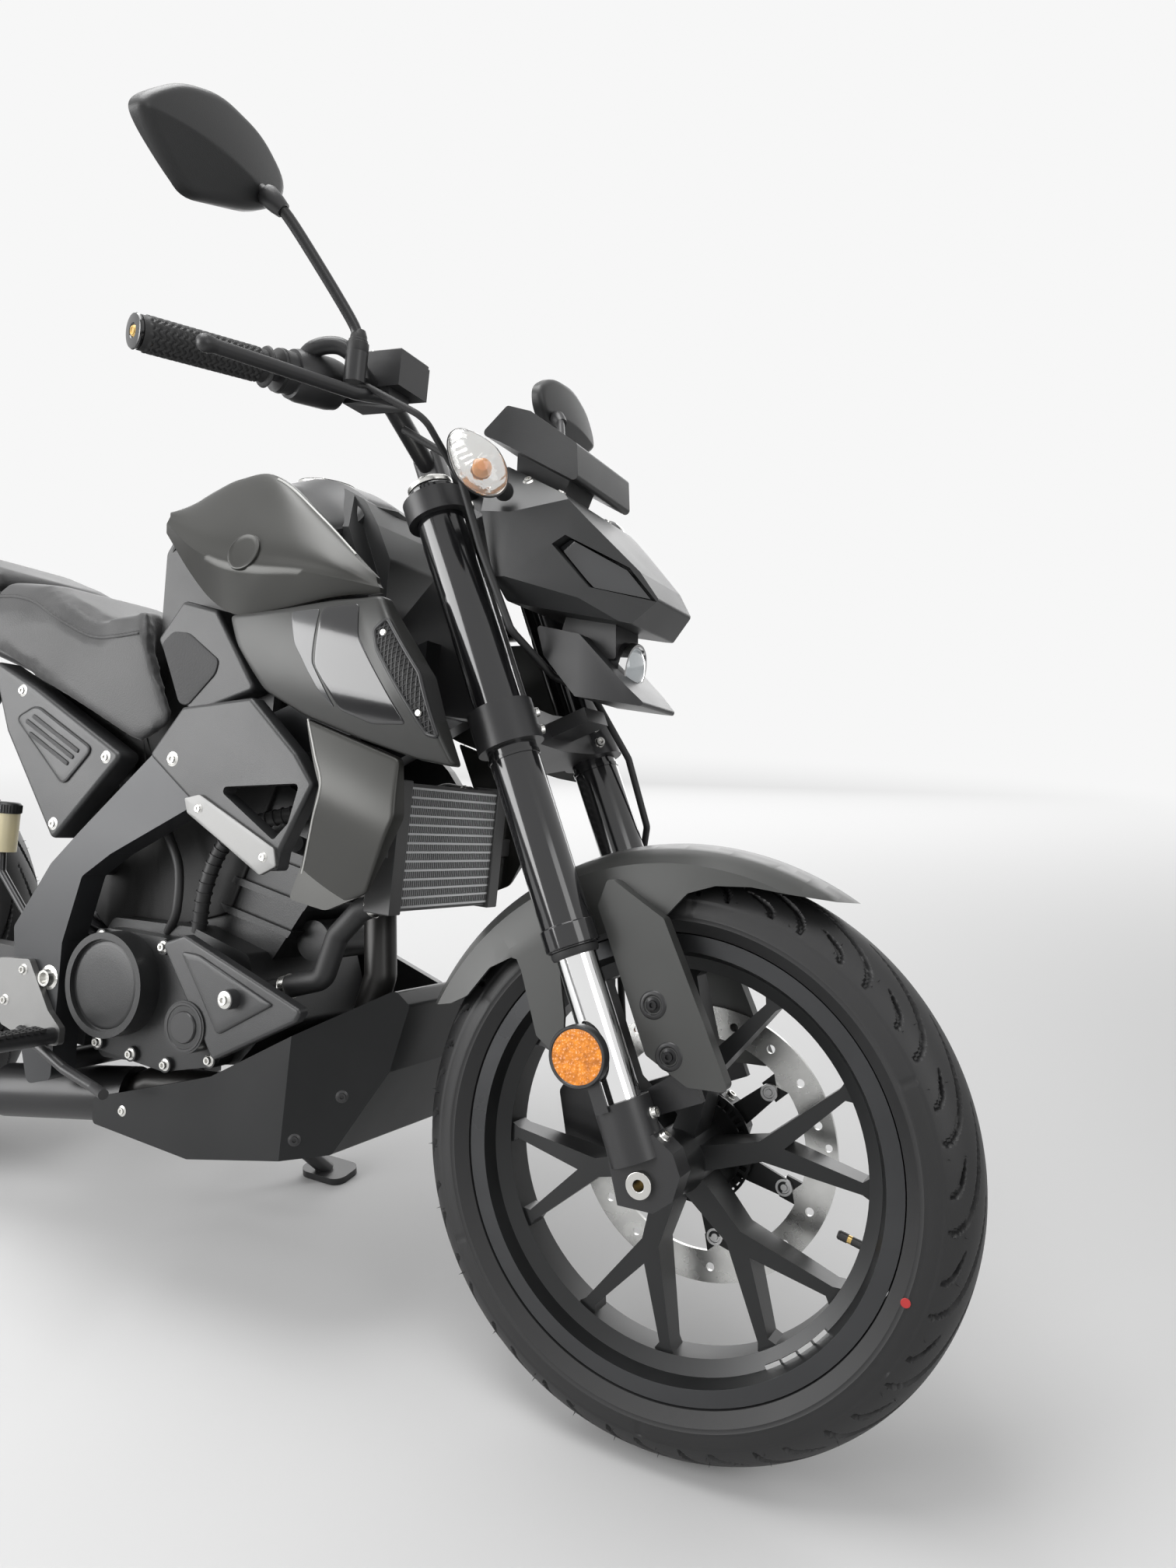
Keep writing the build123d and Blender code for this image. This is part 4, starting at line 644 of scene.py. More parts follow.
# Fork reflectors: round discs of amber plastic, moulded with fine prisms behind. Each is
# pressed into a black cup on the fender's plate.
amber = moulded(
    "amber", (0.80, 0.24, 0.015), 0.14, grain=420, depth=0.3, mottle=0.35, coat=0.8, broad_scale=160)
amber_tree = amber.node_tree
prism = add_node(amber_tree, "ShaderNodeTexVoronoi", {"Scale": 330}, {
    "Vector": amber_tree.nodes["Texture Coordinate"].outputs["Object"]})
prism_bump = add_node(amber_tree, "ShaderNodeBump", {"Strength": 0.5, "Distance": 0.001}, {
    "Height": prism.outputs["Distance"]})
amber_tree.links.new(prism_bump.outputs["Normal"], amber_tree.nodes["Principled BSDF"].inputs["Normal"])
reflector_middle = fork_point(-13, 0, 129)
dress(["fork_reflectors"], amber, 0.0006, second=satin_black, where=lambda p, n: hypot(
    p.x - reflector_middle.x, p.z - reflector_middle.z) > 27.5)
cups = []
for side in (-1, 1):
    spot, facing = landing("fork_reflectors", fork_point(-13, side * 300, 129), (0, -side, 0))
    rim = [
        (26.4, 0.2), (27.4, 1.2), (29.2, 1.2), (29.9, 0), (30.2, -9), (27, -10.5), (26.4, -8),
        (26.4, 0.2)]
    cups.append(turned(rim, spot, facing, 48))
piece("reflector_cups", joined(*cups), satin_black, "steering")

# Front brake: a two-piston caliper of anodised aluminium, bolted to the left leg. Its hose and
# the control cables have a black rubber sheath.
caliper_black = moulded("caliper_black", (0.022, 0.022, 0.023), 0.32, grain=600, depth=0.05, metal=0.4)
dress(["front_caliper"], caliper_black, 0.0018, 3)
dress(["cables"], soft_rubber, 0.0)


# Handlebar: a satin steel bar in two risers, with ribbed rubber grips and weights at its ends.
# The grips are moulded in a zig-zag of raised bars so that they hold in the wet.
GRIP_FROM, BAR_END = 271, 392


def bar_point(side, across):
    """A point on the straight end of the handlebar, at a distance from the middle."""
    share = (across - 135) / 260
    return Vector((296 - 87 * share, side * across, 1053 - 27 * share))


def bar_along(side):
    """The way that a straight end of the handlebar points."""
    return (bar_point(side, BAR_END) - bar_point(side, GRIP_FROM)).normalized()


def ring_faces(rings, steps):
    """Faces between rings of points that have the same number of steps."""
    return [
        (
            i * steps + k, i * steps + (k + 1) % steps, (i + 1) * steps + (k + 1) % steps,
            (i + 1) * steps + k)
        for i in range(rings - 1) for k in range(steps)]


def tube_faces(rings, steps):
    """The same, with both ends closed."""
    last = (rings - 1) * steps
    return ring_faces(rings, steps) + [list(range(steps)), list(range(last, last + steps))]


def grip_sleeve(side):
    """A grip: raised chevrons on a sleeve, a flange inside and a plain end."""
    start, end = bar_point(side, GRIP_FROM), bar_point(side, BAR_END)
    along = (end - start).normalized()
    first = along.orthogonal().normalized()
    second = along.cross(first)
    long = (end - start).length
    points = []
    rows, steps = 122, 72
    sleeve, bar_height, flange_height = 15.6, 1.1, 4.6
    chevrons, bar_pitch = 12, 6.2
    for i in range(rows):
        s = long * i / (rows - 1)
        for k in range(steps):
            a = 2 * pi * k / steps
            zig = abs((k / steps * chevrons) % 1 - 0.5) * 2
            on_bar = (s / bar_pitch + zig * 0.8) % 1 < 0.56 and 12 < s < long - 6
            on_flange = max(0, 1 - abs(s - 2.4) / 2.6) ** 0.4 * (s < 5)
            r = sleeve + bar_height * on_bar + flange_height * on_flange
            points.append(start + along * s + (first * cos(a) + second * sin(a)) * r)
    return points, tube_faces(rows, steps)


dress(["handlebar"], satin_black, 0.0006)
grip_rubber = piece(
    "grip_rubber", joined(grip_sleeve(-1), grip_sleeve(1)), soft_rubber, "steering", fold=55)
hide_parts("grips")
weights, sockets_at = [], []
for side in (-1, 1):
    along = bar_along(side)
    weight = [
        (0, 0), (13, 0), (15.6, 1), (16.2, 3), (15.4, 4.4), (13, 4.8), (7, 4.9), (6.4, 3.8), (0, 3.8)]
    weights.append(turned(weight, bar_point(side, BAR_END), along, 36))
    sockets_at.append((bar_point(side, BAR_END) + along * 3.8, along))
piece("bar_end_weights", joined(*weights), gloss_black, "steering")
bolts(
    "bar_end_screws", sockets_at, brass, "steering", head=4.6, tall=1.6, flange=5.6, share=0.7)


# Hand controls: cast lever brackets and moulded switch cases, clamped to the bar in halves.
# The fluid tank's lid and the cases are held by small screws; levers end in a ball.
def through(points, steps):
    """A smooth line through points."""
    spots = [np.array(p, float) for p in points]
    spots = [2 * spots[0] - spots[1]] + spots + [2 * spots[-1] - spots[-2]]
    line = []
    for a, b, c, d in zip(spots, spots[1:], spots[2:], spots[3:]):
        for k in range(steps):
            t = k / steps
            line.append(0.5 * (2 * b + (c - a) * t + (2 * a - 5 * b + 4 * c - d) * t ** 2
                               + (3 * b - a - 3 * c + d) * t ** 3))
    return line + [spots[-2]]


def rod_along(path, radius, sides=8):
    """A thin round rod along a path, closed at its ends."""
    path = [Vector(p) for p in path]
    points, side = [], None
    for k, spot in enumerate(path):
        along = (path[min(k + 1, len(path) - 1)] - path[max(k - 1, 0)]).normalized()
        side = along.orthogonal() if side is None else side - along * side.dot(along)
        side = side.normalized()
        other = along.cross(side)
        points += [
            spot + (side * cos(2 * pi * j / sides) + other * sin(2 * pi * j / sides)) * radius
            for j in range(sides)]
    return points, tube_faces(len(path), sides)


dress(["controls"], satin_black, 0.0026, 3)
lids, lid_screws, case_bands, buttons, balls = [], [], [], [], []
for side in (-1, 1):
    mid = bar_point(side, 170)
    low, high = mid + Vector((18, -side * 6 - 24, 31)), mid + Vector((62, -side * 6 + 24, 31))
    lid_points = []
    for inset, z in ((0, 0), (0, 3.2), (1.6, 4.6), (8, 4.6), (9.4, 3.6)):
        for x, y in ((low.x + inset, low.y + inset), (high.x - inset, low.y + inset),
                     (high.x - inset, high.y - inset), (low.x + inset, high.y - inset)):
            lid_points.append((x, y, low.z + z))
    lids.append((lid_points, tube_faces(5, 4)))
    for x, y in ((low.x + 5, low.y + 5), (high.x - 5, high.y - 5)):
        lid_screws.append((Vector((x, y, low.z + 4.4)), Vector((0, 0, 1))))
    along = bar_along(side)
    ball = [(0, 9), (4, 8.2), (7, 5.6), (8.4, 1.5), (8, -3), (6.6, -8), (6.3, -14), (0, -14)]
    balls.append(turned(ball, mid + Vector((-8, side * 205, -32)), (-48, side * 150, -8), 24))
    for across in (200, 229, 258):
        band = [(20.6, -1), (21.6, -1), (21.6, 1), (20.6, 1), (20.6, -1)]
        case_bands.append(turned(band, bar_point(side, across), along, 40))
    for across, tall in ((214, 4.5), (244, 4.5)):
        start = bar_point(side, across) + Vector((-60, 0, 26))
        spot, facing = landing("controls", start, bar_point(side, across) - start)
        buttons.append(
            turned([(0, -1), (7, -1), (7, tall - 1), (6, tall), (0, tall)], spot, facing, 20))
piece("lever_balls", joined(*balls), satin_black, "steering", fold=60)
elbow = through(
    [(262, -240, 1050), (276, -238, 1068), (298, -228, 1074), (316, -219, 1062), (321, -215, 1042)], 8)
housing = [(20.8, -30), (24.4, -29), (26, -20), (26, 14), (24, 22), (20.8, 23), (20.8, -30)]
piece(
    "throttle_case",
    joined(rod_along(elbow, 8.5, 20), turned(housing, bar_point(-1, 226), bar_along(-1), 44)),
    satin_black, "steering", fold=50)
sight_rim = [(0, 0.4), (6, 0.4), (6.6, 1.6), (8.6, 1.6), (9.2, 0), (9.2, -2), (0, -2)]
sight = landing("controls", (200, -164, 1071), (1, 0, 0))
piece("fluid_sight", turned(sight_rim, sight[0], sight[1], 28), gloss_black, "steering")
piece("fluid_lids", joined(*lids), satin_black, "steering")
bolts("fluid_lid_screws", lid_screws, bright_zinc, "steering", head=2.8, tall=1.4, flange=3.2)
piece("switch_case_bands", joined(*case_bands), soft_rubber, "steering")
switch_grey = moulded("switch_grey", (0.09, 0.09, 0.095), 0.45)
piece("switch_buttons", joined(*buttons), switch_grey, "steering")


# Mirrors: crowned kite-shaped shells of grained plastic on bent steel stems with a rubber boot.
# The glass faces the rider behind a thin rim.
def rounded(corners, radius, spacing=5.0):
    """A closed outline through corners in a plane, each rounded, with points along its runs."""
    line = []
    for k, corner in enumerate(corners):
        here = np.array(corner, float)
        back = np.array(corners[k - 1], float)
        ahead_of = np.array(corners[(k + 1) % len(corners)], float)
        cut_in = here + (back - here) * min(0.45, radius / max(1e-6, np.linalg.norm(back - here)))
        cut_out = here + (ahead_of - here) * min(
            0.45, radius / max(1e-6, np.linalg.norm(ahead_of - here)))
        if line:
            run = cut_in - line[-1]
            count = max(1, int(np.linalg.norm(run) / spacing))
            for j in range(1, count):
                line.append(line[-1] + (cut_in - line[-1]) / (count - j + 1))
        for t in np.linspace(0, 1, 6):
            line.append((1 - t) ** 2 * cut_in + 2 * t * (1 - t) * here + t * t * cut_out)
    run = line[0] - line[-1]
    count = max(1, int(np.linalg.norm(run) / spacing))
    last = line[-1]
    line += [last + run * j / count for j in range(1, count)]
    return line


def crowned(outline, middle, outer, inner, edge=4.0, rings=12, axis="y"):
    """A moulded cover: a crowned outer face with a rolled edge, walls and a flat back.

    It faces right, ahead or to the rear as axis says: y, x or -x.
    """
    middle = np.array(middle, float)
    count = len(outline)
    points = []

    def put(flat, height):
        a, b = float(flat[0]), float(flat[1])
        points.append((a, -height, b) if axis == "y" else (height if axis == "x" else -height, a, b))

    for flat in outline:
        put(flat, inner)
    levels = [edge * (1 - cos(radians(90 * k / 4))) for k in range(5)]
    for dip in levels:
        for flat in outline:
            span = np.linalg.norm(middle - flat)
            spot = flat + (middle - flat) / span * min(dip, span * 0.5)
            put(spot, outer(*spot) - edge + (edge ** 2 - (edge - dip) ** 2) ** 0.5)
    for k in range(1, rings):
        for flat in outline:
            span = np.linalg.norm(middle - flat)
            start = flat + (middle - flat) / span * min(edge, span * 0.5)
            spot = start + (middle - start) * (k / rings)
            put(spot, outer(*spot))
    put(middle, outer(*middle))
    loops = len(levels) + rings
    faces = ring_faces(loops, count)
    last = (loops - 1) * count
    faces += [(last + k, last + (k + 1) % count, loops * count) for k in range(count)]
    faces.append(list(range(count)))
    return points, faces


def fold_line(start, end, height, wide):
    """A raised fold along a line: how far it lifts the surface at a point."""
    start, end = np.array(start, float), np.array(end, float)

    def lift(a, b):
        spot = np.array((a, b), float)
        share = np.clip(np.dot(spot - start, end - start) / np.dot(end - start, end - start), 0, 1)
        away = np.linalg.norm(spot - start - share * (end - start))
        return height * max(0.0, 1 - away / wide)
    return lift


black_plastic = moulded("black_plastic", (0.020, 0.0205, 0.021), 0.42, grain=1200, depth=0.15)
mirror_glass = moulded(
    "mirror_glass", (0.86, 0.87, 0.88), 0.03, grain=200, depth=0.0, metal=1.0, mottle=0.02)
HEAD = [
    (-445, 1200), (-438, 1211), (-408, 1238), (-360, 1257), (-302, 1252), (-264, 1226), (-271, 1200),
    (-300, 1179), (-378, 1152), (-404, 1164), (-432, 1181), (-444, 1192)]


def mirror_height(y, z):
    """Gently crowned above a bent crease, and sloping in below it."""
    drop = 1203 - 0.0013 * (y + 365) ** 2 - z
    return 255 - 0.0007 * (y + 360) ** 2 - (0.34 * drop if drop > 0 else 0.0022 * drop ** 2)


mirror_back = crowned(
    rounded(HEAD, 18, 4), (-356, 1210), mirror_height, 231.6, edge=8, rings=20, axis="x")
mirror_shells = piece(
    "mirror_shells", mirror_back, black_plastic, "steering", twin=True, fold=60)
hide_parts("mirrors")
GLASS = [
    (-438, 1200), (-404, 1232), (-360, 1251), (-304, 1246), (-271, 1225), (-277, 1203), (-302, 1185),
    (-378, 1158), (-428, 1184)]
glass_front = crowned(
    rounded(GLASS, 10), (-356, 1213), lambda y, z: 231.9, 231.2, edge=0.3, rings=3, axis="x")
piece("mirror_glasses", glass_front, mirror_glass, "steering", twin=True)
boots, stems = [], []
for side in (-1, 1):
    foot = bar_point(side, 170) + Vector((34, 0, 18.2))
    foot.y = side * 222
    boot = [
        (6, 0), (10.5, 0), (11, 2), (11, 9), (9.6, 10), (9.6, 12), (8.4, 13), (8.4, 16), (6.2, 22),
        (6, 22), (6, 0)]
    boots.append(turned(boot, foot, (0, 0, 1), 28))
    bend = [
        foot, foot + Vector((-1, side * 2, 14)), foot + Vector((-6, side * 9, 32)),
        Vector((276, side * 282, 1170)), Vector((263, side * 298, 1187)),
        Vector((250, side * 304, 1198))]
    stems.append(rod_along(through(bend, 6), 5.6, 16))
    collar = [(5.4, -12), (7.6, -12), (9.4, -4), (10.6, 8), (9, 12), (5.4, 12), (5.4, -12)]
    stems.append(turned(collar, (263, side * 298, 1187), (-13, side * 8, 12), 24))
piece("mirror_boots", joined(*boots), soft_rubber, "steering")
piece("mirror_stems", joined(*stems), satin_black, "steering", fold=50)

# Headlamp cowl: an angular moulding in grained black plastic round the lamps, carried by the
# yokes. Bright socket screws hold its top panel.
dress(["headlamp_cowl"], black_plastic, 0.0032, 4)
cowl_screws = []
for x, side in ((436, -64), (436, 64), (474, -58), (474, 58)):
    cowl_screws.append(landing("headlamp_cowl", (x, side, 1300), (0, 0, -1)))
bolts("cowl_screws", cowl_screws, bright_zinc, "steering", head=4.6, tall=2.6, flange=6.6)


# Lamps: a projector in a satin black case under the cowl, with a ball lens in a bright bezel,
# and smoked position lamps above. The lenses are polycarbonate, welded to their cases.
def clear_plastic(name, colour, rough=0.04, through=0.85):
    """A see-through moulding with faint ripples."""
    mat = moulded(name, colour, rough, grain=160, depth=0.03, mottle=0.03)
    mat.node_tree.nodes["Principled BSDF"].inputs["Transmission Weight"].default_value = through
    mat.node_tree.nodes["Principled BSDF"].inputs["IOR"].default_value = 1.49
    return mat


smoked = moulded("smoked_lens", (0.025, 0.026, 0.028), 0.06, grain=240, depth=0.04, coat=1.0)
dress(["headlamps"], satin_black, 0.0016, second=smoked, where=lambda p, n: p.z > 846)
lens_glass = moulded(
    "lens_glass", (0.62, 0.66, 0.68), 0.05, grain=200, depth=0.01, coat=1.0, mottle=0.05)
beam = Vector((0.9945, 0, -0.1045))
ball = [(0, 10.5), (6, 10), (12, 8.4), (17, 6), (21, 2.8), (23.4, 0), (23.4, -3), (0, -3)]
piece("projector_lens", turned(ball, (551.9, 0, 794.1), beam, 48), lens_glass, "steering")
bezel = [
    (23.2, -2), (23.2, 1.6), (24.6, 3.2), (27.2, 3.0), (27.9, 1), (27.9, -5), (26.8, -5), (23.2, -2)]
piece(
    "projector_bezel", turned(bezel, (551.9, 0, 794.1), beam, 48), bright_chrome, "steering")


# Front indicators: an almond-shaped clear lens, fluted inside, over an amber bulb in a bright
# dish. The black bowl behind it sits on a short stalk from the cowl.
def half_almond(spot, out, long, tall, high, flutes=0.0):
    """Half an ellipsoid on a plane, closed behind, with flutes across it."""
    out = Vector(out).normalized()
    along = Vector((0.79, 0, -0.61))
    along = (along - out * along.dot(out)).normalized()
    up_face = out.cross(along)
    points = []
    rings, steps = 15, 48
    for i in range(rings):
        t = pi / 2 * i / (rings - 1)
        for k in range(steps):
            a = 2 * pi * k / steps
            pinch = 1 - 0.22 * max(0, -cos(a)) * abs(sin(a)) ** 0.7
            u, v = long * sin(t) * cos(a), tall * sin(t) * sin(a) * pinch
            points.append(Vector(spot) + along * u + up_face * v + out * (
                high * cos(t) + flutes * sin(2 * pi * u / 6.5) * sin(2 * t)))
    return points, ring_faces(rings, steps) + [[(rings - 1) * steps + k for k in range(steps)]]


clear_lens = clear_plastic("clear_lens", (0.92, 0.92, 0.9))
amber_bulb = moulded("amber_bulb", (0.95, 0.33, 0.02), 0.25, grain=300, depth=0.1)
LENS_SPOT, LENS_OUT = Vector((433, -163, 972)), Vector((0.62, -0.78, 0.08)).normalized()
bowl = piece("indicator_bowls", half_almond(LENS_SPOT, -LENS_OUT, 39, 26, 24), satin_black,
             "steering", twin=True, fold=60)
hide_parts("front_indicators")
piece(
    "indicator_lenses", half_almond(LENS_SPOT + LENS_OUT * 0.4, LENS_OUT, 38, 25, 15, 0.7), clear_lens,
    "steering", twin=True, fold=60)
dish = half_almond(LENS_SPOT + LENS_OUT * 0.5, LENS_OUT, 36, 23, 1.5, 0.5)
piece("indicator_dishes", dish, bright_chrome, "steering", twin=True, fold=60)
bulb = [(0, 10), (5, 9), (8.4, 5), (9.4, 1), (9.4, 0), (0, 0)]
piece(
    "indicator_bulbs", turned(bulb, LENS_SPOT + LENS_OUT * 1.4 + Vector((6, 0, -7)), LENS_OUT, 28),
    amber_bulb, "steering", twin=True)
stalk = [(9, -4), (10.4, 0), (9.2, 8), (9, 30), (11, 44), (9, 48), (9, -4)]
piece(
    "indicator_stalks", turned(stalk, (428, -98, 962), (0.03, -1, 0.1), 28), soft_rubber, "steering",
    twin=True)

# Instrument: a stepped visor in grained plastic, screwed to the upper yoke, over a dark display
# with lit bars behind a glossy window.
dress(["instrument"], black_plastic, 0.006, 4)
display_glass = moulded("display_glass", (0.012, 0.014, 0.016), 0.05, grain=200, depth=0.0, coat=1.0)
display_bar = moulded("display_bar", (0.45, 0.5, 0.5), 0.4)
glass_at = Vector((387, 0, 1051))
glass_up, glass_out = Vector((30, 0, 30)).normalized(), Vector((-30, 0, 30)).normalized()


def on_glass(y, up, out):
    """A point across, up and out from the display's middle."""
    return glass_at + Vector((0, y, 0)) + glass_up * up + glass_out * out


def plate_on_glass(y0, y1, up0, up1, out0, out1):
    """A thin plate on the display's slope."""
    corners = [on_glass(y, up, out) for out in (out0, out1) for up in (up0, up1) for y in (y0, y1)]
    return corners, BOX_FACES


piece("display", plate_on_glass(-58, 58, -17, 17, -1, 1.0), display_glass, "steering")
bars = [plate_on_glass(-46 + 8 * k, -41 + 8 * k, -9, -7 + 1.1 * k, 0.9, 1.3) for k in range(11)]
piece("display_bars", joined(*bars), display_bar, "steering")


# Tank covers: two painted plastic shells over the tank, creased along their flanks, with a
# light line along the front edge and a plain round boss on each. They clip to the tank.
def creased_skin(rows, fold, along=9, over=7):
    """A grid of points over a net of rows, smooth but for a crease along one row."""
    rows = [through(row, along) for row in rows]
    columns = []
    for spots in zip(*rows):
        low = through(spots[:fold + 1], over)
        columns.append(low[:-1] + through(spots[fold:], over))
    return columns


def walled(columns, wall):
    """A closed shell from a grid of points, with a wall that goes in by an offset."""
    wide, tall = len(columns), len(columns[0])
    points = [tuple(p) for column in columns for p in column]
    points += [tuple(np.array(p) + wall) for column in columns for p in column]
    faces, back = [], wide * tall
    for i in range(wide - 1):
        for j in range(tall - 1):
            quad = (i * tall + j, (i + 1) * tall + j, (i + 1) * tall + j + 1, i * tall + j + 1)
            faces += [quad, tuple(back + q for q in reversed(quad))]
    rim = [(i * tall, (i + 1) * tall) for i in range(wide - 1)]
    rim += [((i + 1) * tall + tall - 1, i * tall + tall - 1) for i in range(wide - 1)]
    rim += [(j + 1, j) for j in range(tall - 1)]
    rim += [((wide - 1) * tall + j, (wide - 1) * tall + j + 1) for j in range(tall - 1)]
    faces += [(a, b, back + b, back + a) for a, b in rim]
    return points, faces


COVER_ROWS = [
    [
        (-9, -136, 914), (42, -143, 866), (88, -147, 831), (133, -149, 816), (192, -150, 825),
        (264, -151, 838), (322, -150, 843)],
    [
        (-6, -140, 924), (56, -158, 891), (112, -166, 871), (167, -168, 865), (225, -167, 862),
        (278, -163, 855), (323, -153, 848)],
    [
        (-6, -136, 933), (52, -147, 916), (111, -153, 907), (166, -155, 902), (218, -156, 894),
        (269, -156, 877), (318, -151.5, 853)],
    [
        (-13, -126, 942), (11, -118, 953), (36, -111, 968), (70, -105, 982), (126, -105, 983),
        (211, -124, 932), (312, -149, 861)],
    [
        (-13, -93, 940), (11, -93, 955), (36, -93, 968), (70, -93, 981), (122, -93, 982),
        (200, -93, 930), (300, -148, 850)]]
cover_skin = creased_skin(COVER_ROWS, 1)
tank_shells = piece(
    "tank_shells", walled(cover_skin, np.array((0, 6, 0))), satin_paint, "chassis",
    twin=True, fold=42)
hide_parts("tank_covers")
# A pale line finish: the tank covers' pinstripe, and also the painted highlight along the shrouds' rear
# edges.
pinstripe_and_highlight = moulded("pinstripe_and_highlight", (0.55, 0.55, 0.53), 0.35, grain=900, depth=0.02, metal=0.5)
top_edge = through(COVER_ROWS[3], 9)[36:]
piece("tank_pinstripe", rod_along([p + np.array((0, -0.2, 0.4)) for p in top_edge[:-3]], 1.3),
      pinstripe_and_highlight, "chassis", twin=True)
boss_spot, boss_out = landing(tank_shells, (141, -400, 884), (0, 1, 0))
boss = [(0, 0.9), (15, 1.3), (19.4, 1.6), (20.6, 2.2), (21.8, 1.8), (22.4, -1.5), (0, -1.5)]
piece(
    "tank_boss", turned(boss, boss_spot, boss_out, 48), satin_paint, "chassis",
    twin=True)

# Tank: a pressed steel tank under a black moulded top, which is ridged along its shoulders,
# with a flush filler cap held by a ring of screws.
dress(["fuel_tank"], black_plastic, 0.003, 3)
TOP_RIBS = [
    [(-46, -91, 905), (-46, -60, 918), (-46, -30, 925), (-46, 0, 926)],
    [(8, -108, 950), (11, -75, 955), (11, -40, 963), (11, 0, 965)],
    [(70, -101, 979), (70, -72, 983), (70, -42, 992), (70, 0, 993)],
    [(124, -101, 980), (126, -72, 987), (126, -44, 1002), (126, 0, 1003)],
    [(168, -107, 956), (170, -74, 973), (170, -46, 995), (170, 0, 998)],
    [(206, -118, 930), (208, -76, 948), (208, -48, 977), (210, 0, 981)],
    [(214, -118, 918), (218, -76, 936), (220, -48, 966), (222, 0, 972)],
]
right_half = [through(rib[:3], 5)[:-1] + through(rib[2:], 5) for rib in TOP_RIBS]
ribs = [half + [p * np.array((1, -1, 1)) for p in reversed(half[:-1])] for half in right_half]
top_columns = [list(spots) for spots in zip(*[through(line, 6) for line in zip(*ribs)])]
piece(
    "tank_top", walled(top_columns, np.array((0, 0, -6))), black_plastic, "chassis",
    fold=26)
filler = [(26, 0.2), (26.6, 1.4), (33, 1.6), (35.4, 1), (36.6, -0.4), (36.6, -4), (26, -4), (26, 0.2)]
cap_spot = Vector((110, 0, 1006))
piece("filler_ring", turned(filler, cap_spot, (0, 0, 1), 56), bright_zinc, "chassis")
flap = [
    (0, 2.4), (6, 2.3), (6.4, 1.4), (10, 1.4), (10.4, 2.2), (21, 1.9), (24.8, 1.2), (25.2, -2), (0, -2)]
piece("filler_flap", turned(flap, cap_spot, (0, 0, 1), 48), gloss_black, "chassis")
SCREW_CIRCLE = 30
ring_screws = [
    (cap_spot + Vector((SCREW_CIRCLE * cos(a), SCREW_CIRCLE * sin(a), 1.4)), Vector((0, 0, 1)))
    for a in (2 * pi * k / 6 for k in range(6))]
bolts("filler_screws", ring_screws, bright_zinc, "chassis", head=2.4, tall=1.2, flange=3)


# Air scoops: satin mouldings beside the radiator, with gloss inserts and a wire grille in
# front. They are screwed to the tank covers above.
def crown_fit(samples):
    """A smooth crowned height through samples of two places and a height."""
    def terms(a, b):
        a, b = a / 100, b / 100
        return (1, a, b, a * a, a * b, b * b)
    fit, *_ = np.linalg.lstsq(
        np.array([terms(a, b) for a, b, _ in samples]), np.array([h for *_, h in samples]), rcond=None)
    return lambda a, b: float(np.dot(fit, terms(a, b)))


SCOOP = [
    (118, 815.5), (145, 817), (207, 824), (271, 834), (334, 838.5), (350, 818), (392, 768), (443, 668),
    (398, 672), (322, 688), (244, 708), (183, 733), (137, 782)]
scoop_crown = crown_fit(
    [
        (118, 815, 152), (207, 824, 156), (334, 838, 160), (443, 668, 160), (322, 688, 158),
        (183, 733, 155), (300, 770, 175), (380, 750, 174), (220, 780, 170), (350, 720, 172)])
scoop_fold = fold_line((330, 836), (438, 672), 4.0, 26)


def scoop_height(x, z, out=0.0):
    """How far a scoop's surface, or what lies a little out from it, stands to the right."""
    return scoop_crown(x, z) + scoop_fold(x, z) + out


scoop_paint = moulded(
    "scoop_paint", (0.038, 0.0385, 0.037), 0.36, grain=2000, depth=0.03, metal=0.35, mottle=0.06)
scoop_shell = crowned(
    rounded(SCOOP, 7), (290, 760), scoop_height, 148.3, edge=5, rings=22)
scoops = piece(
    "scoop_shells", scoop_shell, scoop_paint, "chassis", twin=True, fold=50)
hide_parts("air_scoops")
smoke_gloss = moulded("smoke_gloss", (0.06, 0.061, 0.063), 0.16, grain=300, depth=0.01, coat=0.3)
INSERTS = (
    (
        "dark", gloss_black, (318, 762),
        [(259, 824), (306, 829.5), (316, 795), (386, 706), (342, 704), (298, 716), (262, 762)]),
    (
        "smoke", smoke_gloss, (250, 776),
        [(216, 819), (256, 823.5), (259, 762), (292, 717), (270, 734), (230, 784)]))
for name, finish, middle, outline in INSERTS:
    insert = crowned(
        rounded(outline, 6), middle, lambda x, z: scoop_height(x, z, 0.8), 149, edge=1.2, rings=22)
    piece("scoop_insert_" + name, insert, finish, "chassis", twin=True, fold=50)
GRILLE = [(352, 812), (338, 800), (346, 780), (414, 698), (427, 696), (402, 757)]
GRILLE_MIDDLE, WIRE_GAP = (384.0, 755.0), 5.2
grille_back = crowned(
    rounded(GRILLE, 4), GRILLE_MIDDLE, lambda x, z: scoop_height(x, z, 0.6), 149, edge=0.5, rings=10)
# Painted shade: a near-black matt sheet under the wires stands for the shaded opening behind the
# grille.
grille_painted_shade = moulded("grille_painted_shade", (0.006, 0.006, 0.006), 0.7)
piece("grille_backs", grille_back, grille_painted_shade, "chassis", twin=True, fold=50)


def on_scoop(flat, out):
    """A point a little out from a scoop's surface."""
    x, z = float(flat[0]), float(flat[1])
    return Vector((x, -scoop_height(x, z, out), z))


def cut_to(corners, spot, way):
    """The stretch of a line that lies inside a convex outline, or None."""
    low, high = -1e3, 1e3
    middle = np.mean(np.array(corners, float), axis=0)
    for k, corner in enumerate(corners):
        here, there = np.array(corners[k - 1], float), np.array(corner, float)
        normal = np.array((there[1] - here[1], here[0] - there[0]))
        normal = -normal if np.dot(middle - here, normal) < 0 else normal
        speed, gap = np.dot(way, normal), np.dot(here - spot, normal)
        if abs(speed) < 1e-9:
            if gap > 0:
                return None
        elif speed > 0:
            low = max(low, gap / speed)
        else:
            high = min(high, gap / speed)
    return (spot + way * low, spot + way * high) if high - low > 2 else None


